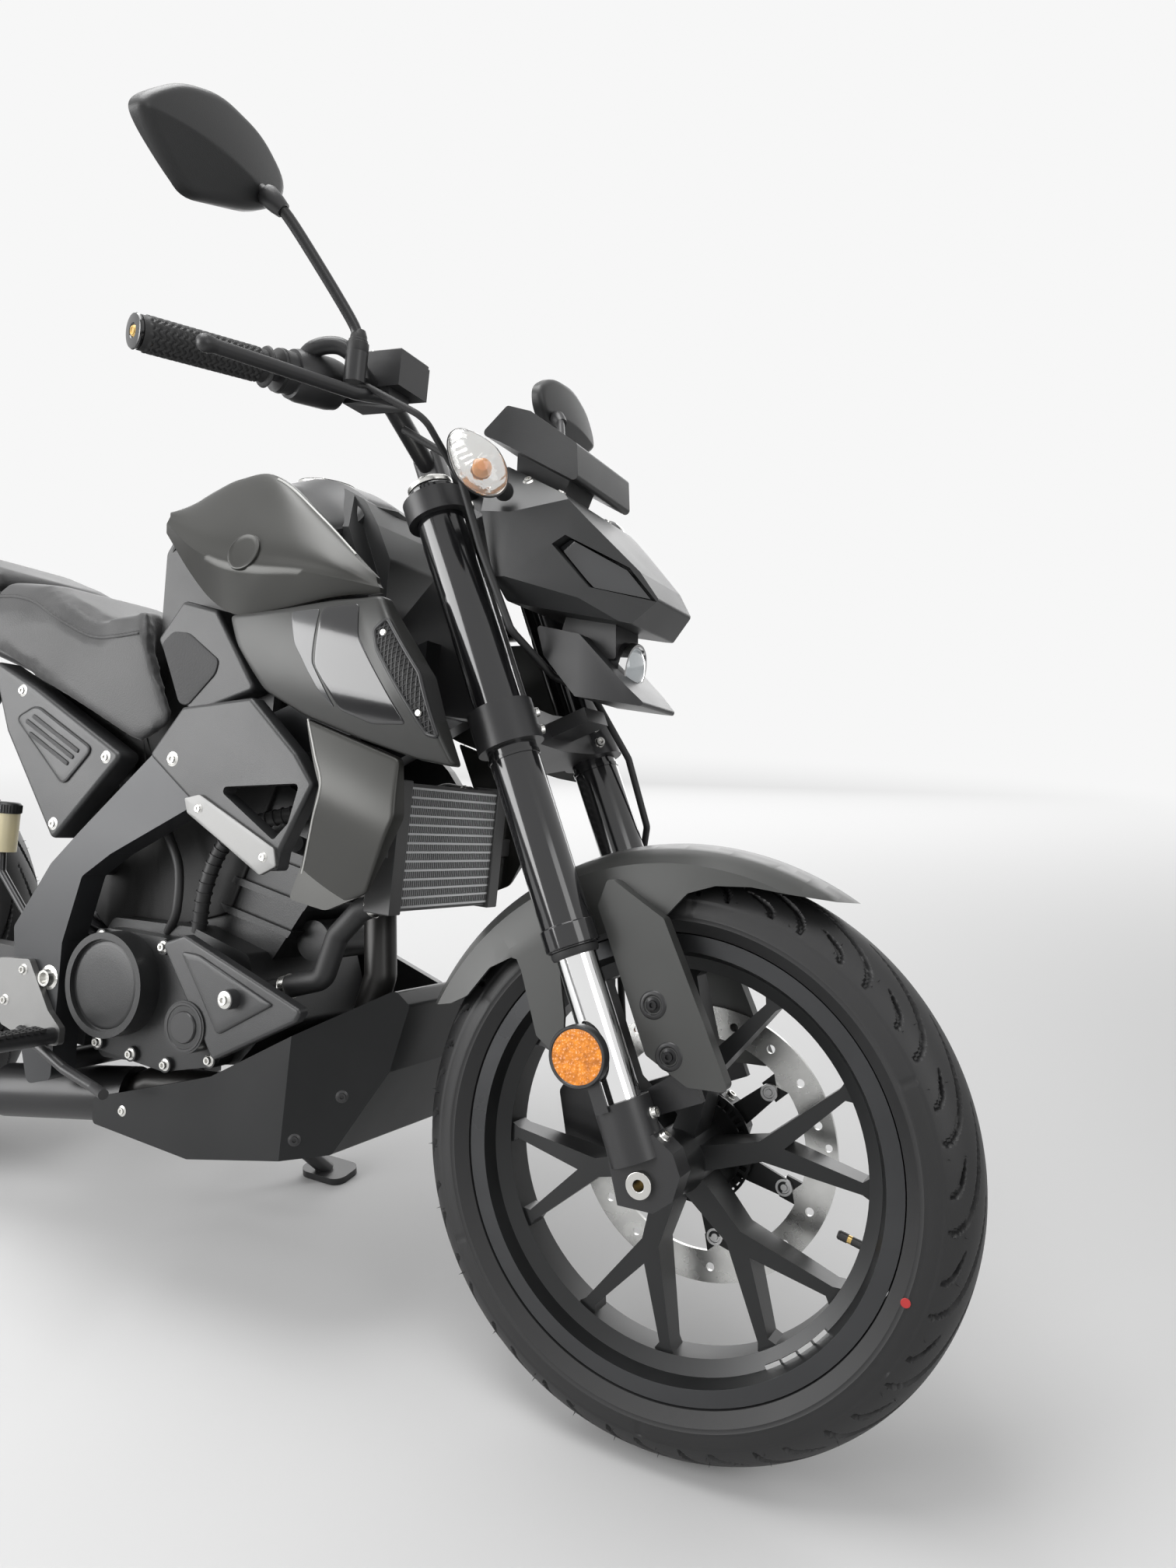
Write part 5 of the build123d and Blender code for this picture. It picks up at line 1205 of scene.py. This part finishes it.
wires = []
for way in (np.array((0.94, 0.34)), np.array((-0.05, 1.0))):
    step = np.array((-way[1], way[0]))
    for k in range(-24, 25):
        stretch = cut_to(
            GRILLE, np.array(GRILLE_MIDDLE) + step * WIRE_GAP * k, way / np.linalg.norm(way))
        if stretch:
            a, b = stretch
            wires.append(
                rod_along([on_scoop(a + (b - a) * t, 1.0) for t in np.linspace(0, 1, 6)], 0.75, 6))
piece("grille_wires", joined(*wires), satin_black, "chassis", twin=True)
grille_rim = rounded(GRILLE, 4)
piece("grille_rims", rod_along([on_scoop(p, 0.8) for p in grille_rim + grille_rim[:1]], 2.3, 10),
      satin_black, "chassis", twin=True, fold=60)
grille_screws = [(on_scoop(p, 2.4), Vector((0, -1, 0))) for p in ((352, 797), (406, 718))]
grille_screws += [(Vector((p.x, -p.y, p.z)), Vector((0, 1, 0))) for p, _ in grille_screws]
bolts("grille_screws", grille_screws, bright_zinc, "chassis", head=3, tall=1.6, flange=3.6)

# Radiator shrouds: satin painted plastic blades below the scoops, folded across their middle,
# with a painted highlight, a pale line, along the rear edge. They clip to the radiator's sides.
BLADE = [(246, 706), (372, 672), (380, 612), (344, 530), (292, 505), (242, 511), (282, 637)]


def blade_height(x, z):
    """Leans in above and below a fold that runs forward and down."""
    above_fold = (z - 640 + (x - 282) * 30 / 97) / 10
    rolled = 5.2 * np.log(np.exp(above_fold * 0.5) + np.exp(-above_fold * 0.42))
    return 172.5 - rolled - 0.0004 * (x - 318) ** 2


blade_shell = crowned(rounded(BLADE, 6), (322, 600), blade_height, 148.4, edge=3, rings=26)
blades = piece(
    "shroud_blades", blade_shell, satin_paint, "chassis", twin=True, fold=30)
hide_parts("radiator_shrouds")
# Painted highlight: a pale rod along the blade's rear edge, where light catches the edge.
blade_edge = [(247, 705), (268, 668), (282.6, 637), (272, 600), (258, 556), (243, 512)]
painted_highlight_line = [Vector((x + 2.5, -blade_height(x + 2.5, z) - 0.1, z)) for x, z in through(blade_edge, 5)]
piece("shroud_edge_highlights", rod_along(painted_highlight_line, 1.1), pinstripe_and_highlight, "chassis", twin=True)

# Knee panels and frame covers: grained black mouldings that clip round the frame, with a
# softer pad inset at the knee, a brushed plate at the spar and socket screws.
panel_grey = moulded("panel_grey", (0.030, 0.0305, 0.0315), 0.38, grain=1300, depth=0.18)
dress(["knee_panels", "frame_covers"], panel_grey, 0.002, 3)
PAD = [(-16, 785), (1, 800), (26, 799), (78, 768), (75, 752), (36, 712), (22, 714)]
knee_pad = crowned(rounded(PAD, 6), (28, 760), lambda x, z: 119.6, 117, edge=1.6, rings=5)
pad_rubber = moulded("pad_rubber", (0.022, 0.022, 0.023), 0.6, grain=420, depth=0.6)
piece("knee_pads", knee_pad, pad_rubber, "chassis", twin=True)
brushed = moulded("brushed_plate", (0.20, 0.20, 0.197), 0.5, grain=900, depth=0.08, metal=1.0)
PLATE = [(92, 606), (114, 612), (228, 564), (233, 545), (212, 533), (98, 590)]
plate_face = crowned(rounded(PLATE, 2.5), (160, 576), lambda x, z: 164, 159, edge=1.2, rings=4)
plates = piece("spar_plates", plate_face, brushed, "chassis", twin=True)
bolts(
    "spar_plate_screws", on_sides(plates, ((115, 596), (214, 553))), bright_zinc, "chassis",
    head=4, tall=2.4, flange=5.6)
bolts(
    "frame_cover_screws", on_sides("frame_covers", ((64, 648),)), bright_zinc, "chassis",
    head=5.4, tall=3, flange=8.6)


# Seats: moulded foam pads under matt grained vinyl, pulled over a plastic base and sewn along
# the shoulders. The rider's pad steps up to the passenger's hump.
FILL_FRAMES, FILL_PRESSURE, COVER_STIFFNESS = 20, 3, 6


def upholstered(name, node, most, finish, voxel=0.006):
    """A pad in its solid's space: the solid's edges are eased, then foam swells the cover."""
    solid = frame["nodes"][node]
    work = bmesh.new()
    work.from_mesh(solid.data)
    bmesh.ops.remove_doubles(work, verts=work.verts, dist=1e-5)
    cover = bpy.data.meshes.new(name)
    work.to_mesh(cover)
    work.free()
    pad = bpy.data.objects.new(name, cover)
    scene.collection.objects.link(pad)
    grid = pad.modifiers.new("grid", "REMESH")
    grid.mode = "VOXEL"
    grid.voxel_size = voxel
    ease = pad.modifiers.new("ease", "SMOOTH")
    ease.factor = 0.5
    ease.iterations = 9
    cover = bpy.data.meshes.new_from_object(pad.evaluated_get(bpy.context.evaluated_depsgraph_get()))
    pad.modifiers.clear()
    pad.data = cover
    flat = np.array([v.co[:] for v in cover.vertices])
    fill = pad.modifiers.new("fill", "CLOTH")
    fill.settings.use_pressure = True
    fill.settings.uniform_pressure_force = FILL_PRESSURE
    fill.settings.bending_stiffness = COVER_STIFFNESS
    fill.settings.effector_weights.gravity = 0
    fill.settings.quality = 4
    fill.point_cache.frame_end = FILL_FRAMES
    for step in range(1, FILL_FRAMES + 1):
        scene.frame_set(step)
    swollen = pad.evaluated_get(bpy.context.evaluated_depsgraph_get()).to_mesh()
    moved = np.array([v.co[:] for v in swollen.vertices]) - flat
    moved -= moved.mean(axis=0)
    size = np.linalg.norm(moved, axis=1)
    flat = flat + moved * np.minimum(1, most / np.maximum(size, 1e-9))[:, None]
    pad.evaluated_get(bpy.context.evaluated_depsgraph_get()).to_mesh_clear()
    pad.modifiers.clear()
    scene.frame_set(1)
    cover.vertices.foreach_set("co", flat.ravel())
    cover.update()
    cover.shade_smooth()
    cover.materials.clear()
    cover.materials.append(finish)
    fine = pad.modifiers.new("fine", "SUBSURF")
    fine.levels = fine.render_levels = 1
    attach(pad, "chassis")
    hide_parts(node)
    return pad


def leather_cloth(name, colour):
    """Matt vinyl with pebbled grain."""
    mat = moulded(name, colour, 0.5, grain=300, depth=0.1, mottle=0.12)
    tree = mat.node_tree
    skin = tree.nodes["Principled BSDF"].inputs
    skin["Sheen Weight"].default_value = 0.25
    skin["Sheen Roughness"].default_value = 0.4
    place = add_node(tree, "ShaderNodeTexCoord").outputs["Object"]
    pebble = add_node(tree, "ShaderNodeTexVoronoi", {"Scale": 620}, {"Vector": place})
    hide = add_node(tree, "ShaderNodeBump", {"Strength": 0.35, "Distance": 0.0006}, {
        "Height": pebble.outputs["Distance"], "Normal": tree.nodes["Bump"].outputs["Normal"]})
    tree.links.new(hide.outputs["Normal"], skin["Normal"])
    return mat


seat_vinyl = leather_cloth("seat_vinyl", (0.036, 0.036, 0.0365))
rider_pad = upholstered("rider_pad", "seat", 0.006, seat_vinyl)
pillion_pad = upholstered("pillion_pad", "pillion_seat", 0.006, seat_vinyl)
thread = moulded("seat_thread", (0.05, 0.05, 0.05), 0.6)
SEAMS = (
    (
        "rider", rider_pad,
        [(-322, 838), (-286, 838), (-244, 830), (-190, 808), (-140, 790), (-96, 790), (-58, 796)]),
    (
        "pillion", pillion_pad,
        [(-352, 858), (-400, 872), (-460, 888), (-520, 902), (-580, 912), (-620, 916)]))
for name, pad, line in SEAMS:
    welts, stitches = [], []
    for side in (-1, 1):
        path = [landing(pad, (p[0], side * 300, p[1]), (0, -side, 0))[0] for p in through(line, 6)]
        welts.append(rod_along(path, 1.5, 8))
        for a, b in zip(path, path[1:]):
            stitches.append((a * 0.5 + b * 0.5 + Vector((0, side * 0.8, 3.6)), b - a))
    piece(name + "_welts", joined(*welts), seat_vinyl, "chassis")
    grown(name + "_stitches", stitches, HAIRS,
          {"Length": 0.0045, "Thickness": 0.0006, "Finish": thread}, "chassis")

# Side covers: grained black mouldings under the seat, held by screws, with a flat inset that
# has a seam round it and three soft bars across it.
dress(["side_covers"], panel_grey, 0.0022, 3)
INSET = [(-250, 680), (-216, 698), (-108, 650), (-152, 602)]
inset_face = crowned(rounded(INSET, 11, 3), (-180, 656), lambda x, z: 126.2, 121, edge=2.0, rings=6)
piece("side_cover_insets", inset_face, panel_grey, "chassis", twin=True)
inset_line = [Vector((x, -125.2, z)) for x, z in rounded(INSET, 11, 3)]
inset_line.append(inset_line[0])
piece(
    "side_cover_seams", rod_along(inset_line, 1.5, 8), pad_rubber, "chassis",
    twin=True)
bars = []
along, inward = np.array((0.914, -0.406)), np.array((-0.406, -0.914))
BAR_HALF = 2.6
for depth, start, end in ((13, 3, 101), (24, -5, 97), (35, 9, 93)):
    a, b = (np.array(INSET[1]) + inward * depth + along * reach for reach in (start, end))
    bar = rounded(
        [a - inward * BAR_HALF, b - inward * BAR_HALF, b + inward * BAR_HALF, a + inward * BAR_HALF],
        2.4, 2)
    bars.append(crowned(bar, (a + b) / 2, lambda x, z: 127.8, 123, edge=1.6, rings=3))
piece("side_cover_bars", joined(*bars), pad_rubber, "chassis", twin=True)
bolts("side_cover_screws", on_sides("side_covers", ((-246, 716), (-84, 642), (-164, 552))),
      bright_zinc, "chassis", head=5, tall=3, flange=8)

# Inner panels: black moulded walls behind the covers, clipped to the frame, that shroud the
# battery and air box.
WALL = [(-322, 776), (-150, 800), (-20, 830), (60, 800), (150, 700), (140, 640),
        (116, 560), (84, 470), (-20, 436), (-120, 424), (-168, 470), (-168, 560), (-262, 668)]
wall_face = crowned(
    rounded(WALL, 14, 8), (-90, 690), lambda x, z: 66 + 2.0 * (int(x // 40) % 2), 58, edge=2, rings=12)
wall_black = moulded("wall_black", (0.008, 0.008, 0.008), 0.6, grain=900, depth=0.2)
piece("inner_panels", wall_face, wall_black, "chassis", twin=True)

# Frame: a welded steel frame with pressed spars, round cross tubes and a bolted-on subframe,
# all in satin paint. Bright nuts close the swingarm's pivot.
frame_paint = moulded("frame_paint", (0.028, 0.029, 0.031), 0.34, grain=900, depth=0.06, metal=0.3)
dress(["frame_spars"], frame_paint, 0.003, 3)
dress(["steering_head", "frame_cross_tubes", "subframe", "pillion_pegs", "stand_bracket"], satin_black)
bolts(
    "pivot_nuts", on_sides("frame_spars", ((-122, 367),)), bright_zinc, "chassis", head=11,
    tall=8, flange=15, share=0.7)

# Engine: a single upright cylinder in cast aluminium, painted black, with screwed side covers.
# The clutch cover carries a raised lip, a filler cap with a wing and a small inspection cap.
engine_black = moulded("engine_black", (0.020, 0.0205, 0.021), 0.36, grain=700, depth=0.14, metal=0.2)
dress(["engine", "engine_covers"], engine_black, 0.002, 3)
RIGHT_BOSSES = [
    (-76, 344), (-46, 300), (10, 296), (66, 294), (132, 312), (147, 352), (112, 412), (44, 428),
    (-58, 426)]
case_bolts = [landing("engine_covers", (x, -400, z), (0, 1, 0)) for x, z in RIGHT_BOSSES]
GENERATOR, GENERATOR_BOLTS = (40, 360), 57
for k in range(6):
    a = 2 * pi * (k + 0.5) / 6
    start = (GENERATOR[0] + GENERATOR_BOLTS * cos(a), 400, GENERATOR[1] + GENERATOR_BOLTS * sin(a))
    case_bolts.append(landing("engine_covers", start, (0, -1, 0)))
bolts("engine_case_bolts", case_bolts, bright_zinc, "chassis", head=4.8, tall=4.2, flange=7)
clutch_face = [(0, 2.4), (30, 2.1), (46, 1.4), (51, 0.6), (52.6, -0.6), (52.6, -4), (0, -4)]
piece(
    "clutch_cover_face", turned(clutch_face, (-21, -144, 375), (0, -1, 0), 64), engine_black, "chassis")
small_cap = [
    (0, 2.6), (17, 2.6), (18, 1.6), (18.4, 0), (24, -0.2), (25, 0.8), (27.4, 0.8), (28, -1), (0, -1)]
piece(
    "inspection_cap", turned(small_cap, (108, -144, 348), (0, -1, 0), 44), satin_black, "chassis")
oil_spot, oil_out = landing("engine_covers", (92, -400, 404), (0, 1, 0))
oil_cap = [(0, 9), (9, 9), (11, 7.6), (12.4, 2), (14.6, 1.6), (15, 0), (15, -2), (0, -2)]
wing_bar = [
    oil_spot + oil_out * 11.5 + Vector((11 * cos(0.6) * s, 0, 11 * sin(0.6) * s))
    for s in (-1, -0.5, 0.5, 1)]
piece("oil_filler_cap", joined(turned(oil_cap, oil_spot, oil_out, 28), rod_along(wing_bar, 3.4, 10)),
      black_plastic, "chassis")
dress(["engine_guards"], panel_grey, 0.0016, 2)
EMBOSS = [(92, 432), (118, 432), (232, 394), (158, 348)]
emboss = crowned(rounded(EMBOSS, 6, 3), (150, 400), lambda x, z: 145.4, 140, edge=3, rings=5)
piece("engine_guard_fields", emboss, panel_grey, "chassis", twin=True)
guard_bolts = [
    (Vector((176, -158.2, 392)), Vector((0, -1, 0))), (Vector((150, 145.2, 396)), Vector((0, 1, 0)))]
bolts("engine_guard_bolts", guard_bolts, bright_zinc, "chassis", head=6, tall=3.6, flange=9.6)


# Radiator: flat aluminium tubes with folded fins brazed between them, in a dark core with end
# tanks at its sides.
def slat_tree():
    """Blocks of one size, set on points and stood along each point's facing."""
    tree, start = points_tree("radiator_slats", (), ("Size",))
    slat = add_node(tree, "GeometryNodeMeshCube", feeds={"Size": start["Size"]})
    return stood(tree, start, slat.outputs["Mesh"])


SLATS = slat_tree()
core_black = moulded("core_black", (0.10, 0.10, 0.10), 0.5, metal=0.6)
bare_alloy = moulded("bare_alloy", (0.58, 0.585, 0.59), 0.36, grain=600, depth=0.08, metal=1.0)
dress(["radiator"], core_black, 0.0015)
standing = Vector((0, 0, 1))
TUBES, LOWEST_TUBE, TUBE_GAP = 14, 513, 10
FINS, FIRST_FIN, FIN_GAP = 47, -92, 4
tubes = [
    (Vector((x, 0, LOWEST_TUBE + TUBE_GAP * k)), standing) for k in range(TUBES)
    for x in (344.2, 317.8)]
grown(
    "radiator_tubes", tubes, SLATS, {"Size": (0.003, 0.188, 0.0024), "Finish": bare_alloy}, "chassis")
fins = [
    (Vector((x, FIRST_FIN + FIN_GAP * j, LOWEST_TUBE + TUBE_GAP * (k + 0.5))), standing)
    for k in range(TUBES - 1) for j in range(FINS) for x in (344, 318)]
grown(
    "radiator_fins", fins, SLATS, {"Size": (0.002, 0.0007, 0.0078), "Finish": bare_alloy}, "chassis")

# Breather and wiring: a ribbed rubber hose from the head to the air box, and a taped loom
# along the frame.
HOSE = [
    (206, -46, 606), (196, -84, 602), (158, -98, 590), (118, -96, 574), (86, -92, 548), (70, -94, 500),
    (62, -90, 446)]
hose_line = through(HOSE, 9)
hose_rib = [(8.4, -1.3), (9.8, -1.0), (9.8, 1.0), (8.4, 1.3), (8.4, -1.3)]
ribs_on_hose = [
    turned(hose_rib, a, Vector(b) - Vector(a), 20)
    for a, b in zip(hose_line[4::2], hose_line[5::2])]
piece(
    "breather_hose", joined(rod_along(hose_line, 8.6, 16), *ribs_on_hose), soft_rubber, "chassis",
    fold=60)
loom = through([(20, -96, 440), (38, -104, 470), (30, -100, 520), (4, -98, 560), (-20, -94, 600)], 8)
piece("wiring_loom", rod_along(loom, 5.5, 12), soft_rubber, "chassis", fold=60)

# Coolant hoses: moulded rubber between the radiator and the engine, held on their stubs by
# bright worm-drive clips.
dress(["coolant_hoses"], soft_rubber, 0.0006)
clips = []
for a, b, t in (
        ((318, -84, 516), (290, -84, 502), 0.35), ((250, -86, 420), (170, -84, 392), 0.62),
        ((318, 84, 636), (276, 84, 640), 0.3), ((276, 84, 640), (210, 66, 596), 0.75)):
    a, b = Vector(a), Vector(b)
    clip = [
        (13, -4.5), (14.4, -4.5), (14.4, -3.8), (13.9, -3.4), (13.9, 3.4), (14.4, 3.8), (14.4, 4.5),
        (13, 4.5), (13, -4.5)]
    clips.append(turned(clip, a + (b - a) * t, b - a, 32))
piece("hose_clips", joined(*clips), bright_zinc, "chassis")

# Exhaust: a bent steel header under heat-proof black paint, slid into a welded black muffler
# with a bright end. A near-black disc across the outlet is painted shade in the bore.
header_steel = moulded(
    "header_steel", (0.030, 0.029, 0.028), 0.38, grain=300, depth=0.06, metal=0.5, mottle=0.3)
dress(["exhaust_pipe"], header_steel, 0.0008)
muffler_black = moulded("muffler_black", (0.018, 0.018, 0.019), 0.34, grain=900, depth=0.06, metal=0.2)
dress(["muffler"], muffler_black, 0.004, 3, second=bright_zinc, where=lambda p, n: p.x < -519)
outlet_way = Vector((-25, -5, 10)).normalized()
outlet = [(15, 1), (17, 1.6), (18, 0.6), (18, -3), (15, -3), (15, 1)]
outlet_spot = Vector((-545, -181, 306))
piece("muffler_outlet", turned(outlet, outlet_spot, outlet_way, 36), bright_zinc, "chassis")
# Painted shade: a near-black matt disc closes the outlet where the bore's shade would be.
bore_shade = moulded("muffler_bore", (0.008, 0.008, 0.008), 0.8)
piece(
    "muffler_bore", turned([(0, 0.6), (15.2, 0.6), (15.2, -1), (0, -1)], outlet_spot, outlet_way, 36),
    bore_shade, "chassis")

# Belly pan: a creased satin black moulding under the engine, held by dark screws in front and
# bright ones behind.
pan_black = moulded("pan_black", (0.008, 0.0085, 0.009), 0.34, grain=900, depth=0.04)
pan_black.node_tree.nodes["Principled BSDF"].inputs["Specular IOR Level"].default_value = 0.3
dress(["belly_pan"], pan_black, 0.0022, 3)
bolts(
    "belly_pan_screws", on_sides("belly_pan", ((300, 300), (262, 250))), satin_black, "chassis",
    head=4.6, tall=2.6, flange=7)
bolts(
    "belly_pan_bolts", on_sides("belly_pan", ((12, 230),)), bright_zinc, "chassis", head=4.4,
    tall=2.4, flange=6.4)

# Tail: a black moulded cowl and a long mudguard that carries the lamps. The lamps' lenses are
# red and amber plastic with fine ribs inside.
dress(["tail_cowl"], black_plastic, 0.003, 3)
dress(["rear_mudguard"], black_plastic, 0.002, 2)
ribs = []
for side in (-24, 24):
    path = [landing("rear_mudguard", (-1300, side, 850 - 12 * k), (1, 0, 0))[0] for k in range(15)]
    ribs.append(rod_along(path, 2.2, 10))
piece("mudguard_ribs", joined(*ribs), black_plastic, "chassis")
red_lens = moulded("red_lens", (0.42, 0.008, 0.01), 0.08, grain=260, depth=0.25, coat=1.0)
spot, facing = landing("rear_mudguard", (-1300, 0, 612), (1, 0, 0))
back_reflector = [(0, 5), (13, 4.4), (15.6, 3.4), (16, 2.6), (18, 2.4), (18.4, 0), (18.4, -3), (0, -3)]
piece("rear_reflector", turned(back_reflector, spot, facing, 40), red_lens, "chassis")
TAIL = [(-43, 918), (-30, 926), (30, 926), (43, 918), (40, 892), (26, 885), (-26, 885), (-40, 892)]
tail_bars = [fold_line((-36, z), (36, z), 1.5, 3) for z in (895, 903, 911, 919)]
tail_lens = crowned(
    rounded(TAIL, 7, 3), (0, 905), lambda y, z: 771 - 0.0032 * y * y - 0.35 * max(0, z - 905)
    + sum(bar(y, z) for bar in tail_bars), 738, edge=4, rings=18, axis="-x")
tail_lamp = piece("tail_lamp", tail_lens, red_lens, "chassis", fold=30)
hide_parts("rear_lamps")
rear_spot, rear_out = Vector((-852, -106, 731)), Vector((-0.97, -0.2, 0.1))
piece(
    "rear_indicator_bowls", half_almond(rear_spot, -rear_out, 27, 24, 28), satin_black, "chassis",
    twin=True, fold=60)
piece(
    "rear_indicator_lenses", half_almond(rear_spot + rear_out * 0.4, rear_out, 26, 23, 15, 0.7), amber,
    "chassis", twin=True, fold=60)
stalks = [turned([(8.2, 0), (9.4, 1), (8.8, 18), (8.8, 42), (9.6, 58), (8.2, 59), (8.2, 0)],
                 (-852, side * 31, 728), (0, side, 0.066), 28) for side in (-1, 1)]
piece("rear_indicator_stalks", joined(*stalks), soft_rubber, "chassis")

# Swingarm and shock: a welded box arm in satin black, and one painted coil spring over its
# damper, between two pressed cups.
dress(["swingarm"], satin_black, 0.003, 3)
spring_foot, spring_head = Vector((-226, 0, 393)), Vector((-172, 0, 456))
strut = (spring_head - spring_foot).normalized()
strut_side = Vector((0, 1, 0))
strut_other = strut.cross(strut_side)
long = (spring_head - spring_foot).length
coil = []
COIL_RADIUS, COIL_STEPS, STEPS_A_TURN = 24.5, 180, 36
for k in range(COIL_STEPS + 1):
    a = 2 * pi * k / STEPS_A_TURN
    rise = 6 + (long - 12) * k / COIL_STEPS
    coil.append(spring_foot + strut * rise + (strut_side * cos(a) + strut_other * sin(a)) * COIL_RADIUS)
spring_paint = moulded("spring_paint", (0.028, 0.028, 0.03), 0.25, grain=600, depth=0.03, coat=0.4)
piece("shock_spring", rod_along(coil, 5.2, 12), spring_paint, "chassis", fold=60)
damper = [
    (0, -18), (13, -18), (14, -12), (14, -2), (29, -1.4), (30, 0), (30, 4), (28.6, 5.6), (17, 6),
    (16, 20), (16, long - 6), (28.6, long - 5.6), (30, long - 4), (30, long), (28, long + 1.4),
    (14, long + 2), (14, long + 16), (0, long + 16)]
body = piece(
    "shock_body", turned(damper, spring_foot, strut, 40), satin_black, "chassis")
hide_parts("rear_shock")


# Drive chain: steel rollers between pairs of side plates, riveted on pins, inner and outer
# links by turns. It runs round both sprockets on the left.
def chain_tree():
    """One link on each point: a roller on its pin between two plates, turned along the run."""
    tree, start = points_tree(
        "chain_links", ("Pitch", "Plate height", "Plate thickness", "Roller radius", "Roller width"),
        ("Axle",))
    roller = add_node(tree, "GeometryNodeMeshCylinder", {"Vertices": 12}, {
        "Radius": start["Roller radius"], "Depth": start["Roller width"]})
    lie = add_node(tree, "GeometryNodeTransform", {"Rotation": (pi / 2, 0, 0)}, {
        "Geometry": roller.outputs["Mesh"]})
    long_plate = add_node(tree, "ShaderNodeMath", {1: 1.5}, {0: start["Pitch"]}, operation="MULTIPLY")
    plate_size = add_node(tree, "ShaderNodeCombineXYZ", feeds={
        "X": long_plate.outputs[0], "Y": start["Plate thickness"], "Z": start["Plate height"]})
    plate = add_node(tree, "GeometryNodeMeshCube", feeds={"Size": plate_size.outputs["Vector"]})
    parts = add_node(tree, "GeometryNodeJoinGeometry")
    for share in (0.5, -0.5):
        offset = add_node(
            tree, "ShaderNodeMath", {1: share}, {0: start["Roller width"]}, operation="MULTIPLY")
        away = add_node(tree, "ShaderNodeCombineXYZ", feeds={"Y": offset.outputs[0]})
        shifted = add_node(tree, "GeometryNodeTransform", feeds={
            "Geometry": plate.outputs["Mesh"], "Translation": away.outputs["Vector"]})
        tree.links.new(shifted.outputs["Geometry"], parts.inputs["Geometry"])
    tree.links.new(lie.outputs["Geometry"], parts.inputs["Geometry"])
    across_run = add_node(
        tree, "FunctionNodeAlignRotationToVector", feeds={"Vector": start["Axle"]}, axis="Y")
    return stood(tree, start, parts.outputs["Geometry"], "X", across_run.outputs["Rotation"])


OUTPUT_SHAFT = Vector((-62, 0, 368))
BIG, SMALL, CHAIN_LINE, PITCH = 98.0, 30.0, 84.0, 12.7
hub = REAR_AXLE * 1000
span = OUTPUT_SHAFT - hub
gap, tilt = span.length, atan2(span.z, span.x)
wrap = np.arccos((BIG - SMALL) / gap)
loop = []
for centre, radius, first, last in (
        (OUTPUT_SHAFT, SMALL, tilt + wrap, tilt - wrap), (hub, BIG, tilt - wrap, tilt + wrap - 2 * pi)):
    for a in np.linspace(first, last, 90):
        loop.append(centre + Vector((radius * cos(a), CHAIN_LINE, radius * sin(a))))
loop.append(loop[0])
lengths = np.cumsum([0] + [(b - a).length for a, b in zip(loop, loop[1:])])
links_around = 2 * round(lengths[-1] / PITCH / 2)
links = []
for k in range(links_around):
    reach = lengths[-1] * (k + 0.5) / links_around
    i = int(np.searchsorted(lengths, reach)) - 1
    a, b = loop[i], loop[i + 1]
    links.append((a + (b - a) * ((reach - lengths[i]) / (lengths[i + 1] - lengths[i])), b - a))
chain_steel = moulded(
    "chain_steel", (0.34, 0.32, 0.29), 0.34, grain=400, depth=0.1, metal=1.0, mottle=0.3,
    broad_scale=60)
CHAIN = chain_tree()
sides = {
    "Pitch": PITCH / 1000, "Plate height": 0.010, "Plate thickness": 0.0016, "Roller radius": 0.0042,
    "Finish": chain_steel, "Axle": lean.to_3x3() @ Vector((0, 1, 0))}
inner_links = grown(
    "chain_inner_links", links[0::2], CHAIN, {**sides, "Roller width": 0.0086}, "chassis")
grown("chain_outer_links", links[1::2], CHAIN, {**sides, "Roller width": 0.0122}, "chassis")
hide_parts("drive_chain")

# Rear brake: a single-piston caliper of anodised aluminium, and a translucent plastic fluid
# bottle with a ribbed black cap screwed on.
BOTTLE_X, BOTTLE_Y, CAP_RADIUS = -268, -112, 17.6
fluid_bottle = clear_plastic("fluid_bottle", (0.82, 0.74, 0.5), 0.3, 0.35)
dress(["rear_brake"], caliper_black, 0.0016, 2, second=fluid_bottle, where=lambda p, n: (
    hypot(p.x - BOTTLE_X, p.y - BOTTLE_Y) < 18 and p.z > 505))
cap = [(0, 14), (15, 14), (17, 12.6), (CAP_RADIUS, 11), (CAP_RADIUS, 0), (15, -0.6), (0, -0.6)]
piece(
    "bottle_cap", turned(cap, (BOTTLE_X, BOTTLE_Y, 556), standing, 36), black_plastic, "chassis")
cap_ribs = []
for a in (2 * pi * k / 30 for k in range(30)):
    spot = Vector((BOTTLE_X + CAP_RADIUS * cos(a), BOTTLE_Y + CAP_RADIUS * sin(a), 562))
    cap_ribs.append((spot, standing))
grown(
    "bottle_cap_ribs", cap_ribs, SLATS, {"Size": (0.0014, 0.0014, 0.010), "Finish": black_plastic},
    "chassis")

# Footrests and stand: brushed alloy heel plates held by bright bolts, pegs with rubber treads
# and a satin black steel prop stand.
dress(
    ["footrests"], satin_black, 0.0014, second=brushed, where=lambda p, n: abs(p.y) < 149 and p.x < -80)
treads = [
    (Vector((-104 + 5.4 * j, side * (168 + 9 * k), 312)), standing) for side in (-1, 1)
    for j in range(4) for k in range(8)]
grown(
    "peg_rubbers", treads, SLATS, {"Size": (0.0036, 0.006, 0.004), "Finish": soft_rubber}, "chassis")
bolts(
    "heel_plate_bolts", on_sides("footrests", ((-186, 330), (-158, 372))), bright_zinc, "chassis",
    head=5, tall=3.4, flange=7)
dress(["side_stand"], satin_black, 0.0016)
dress(["rear_axle"], bright_zinc, 0.0008)
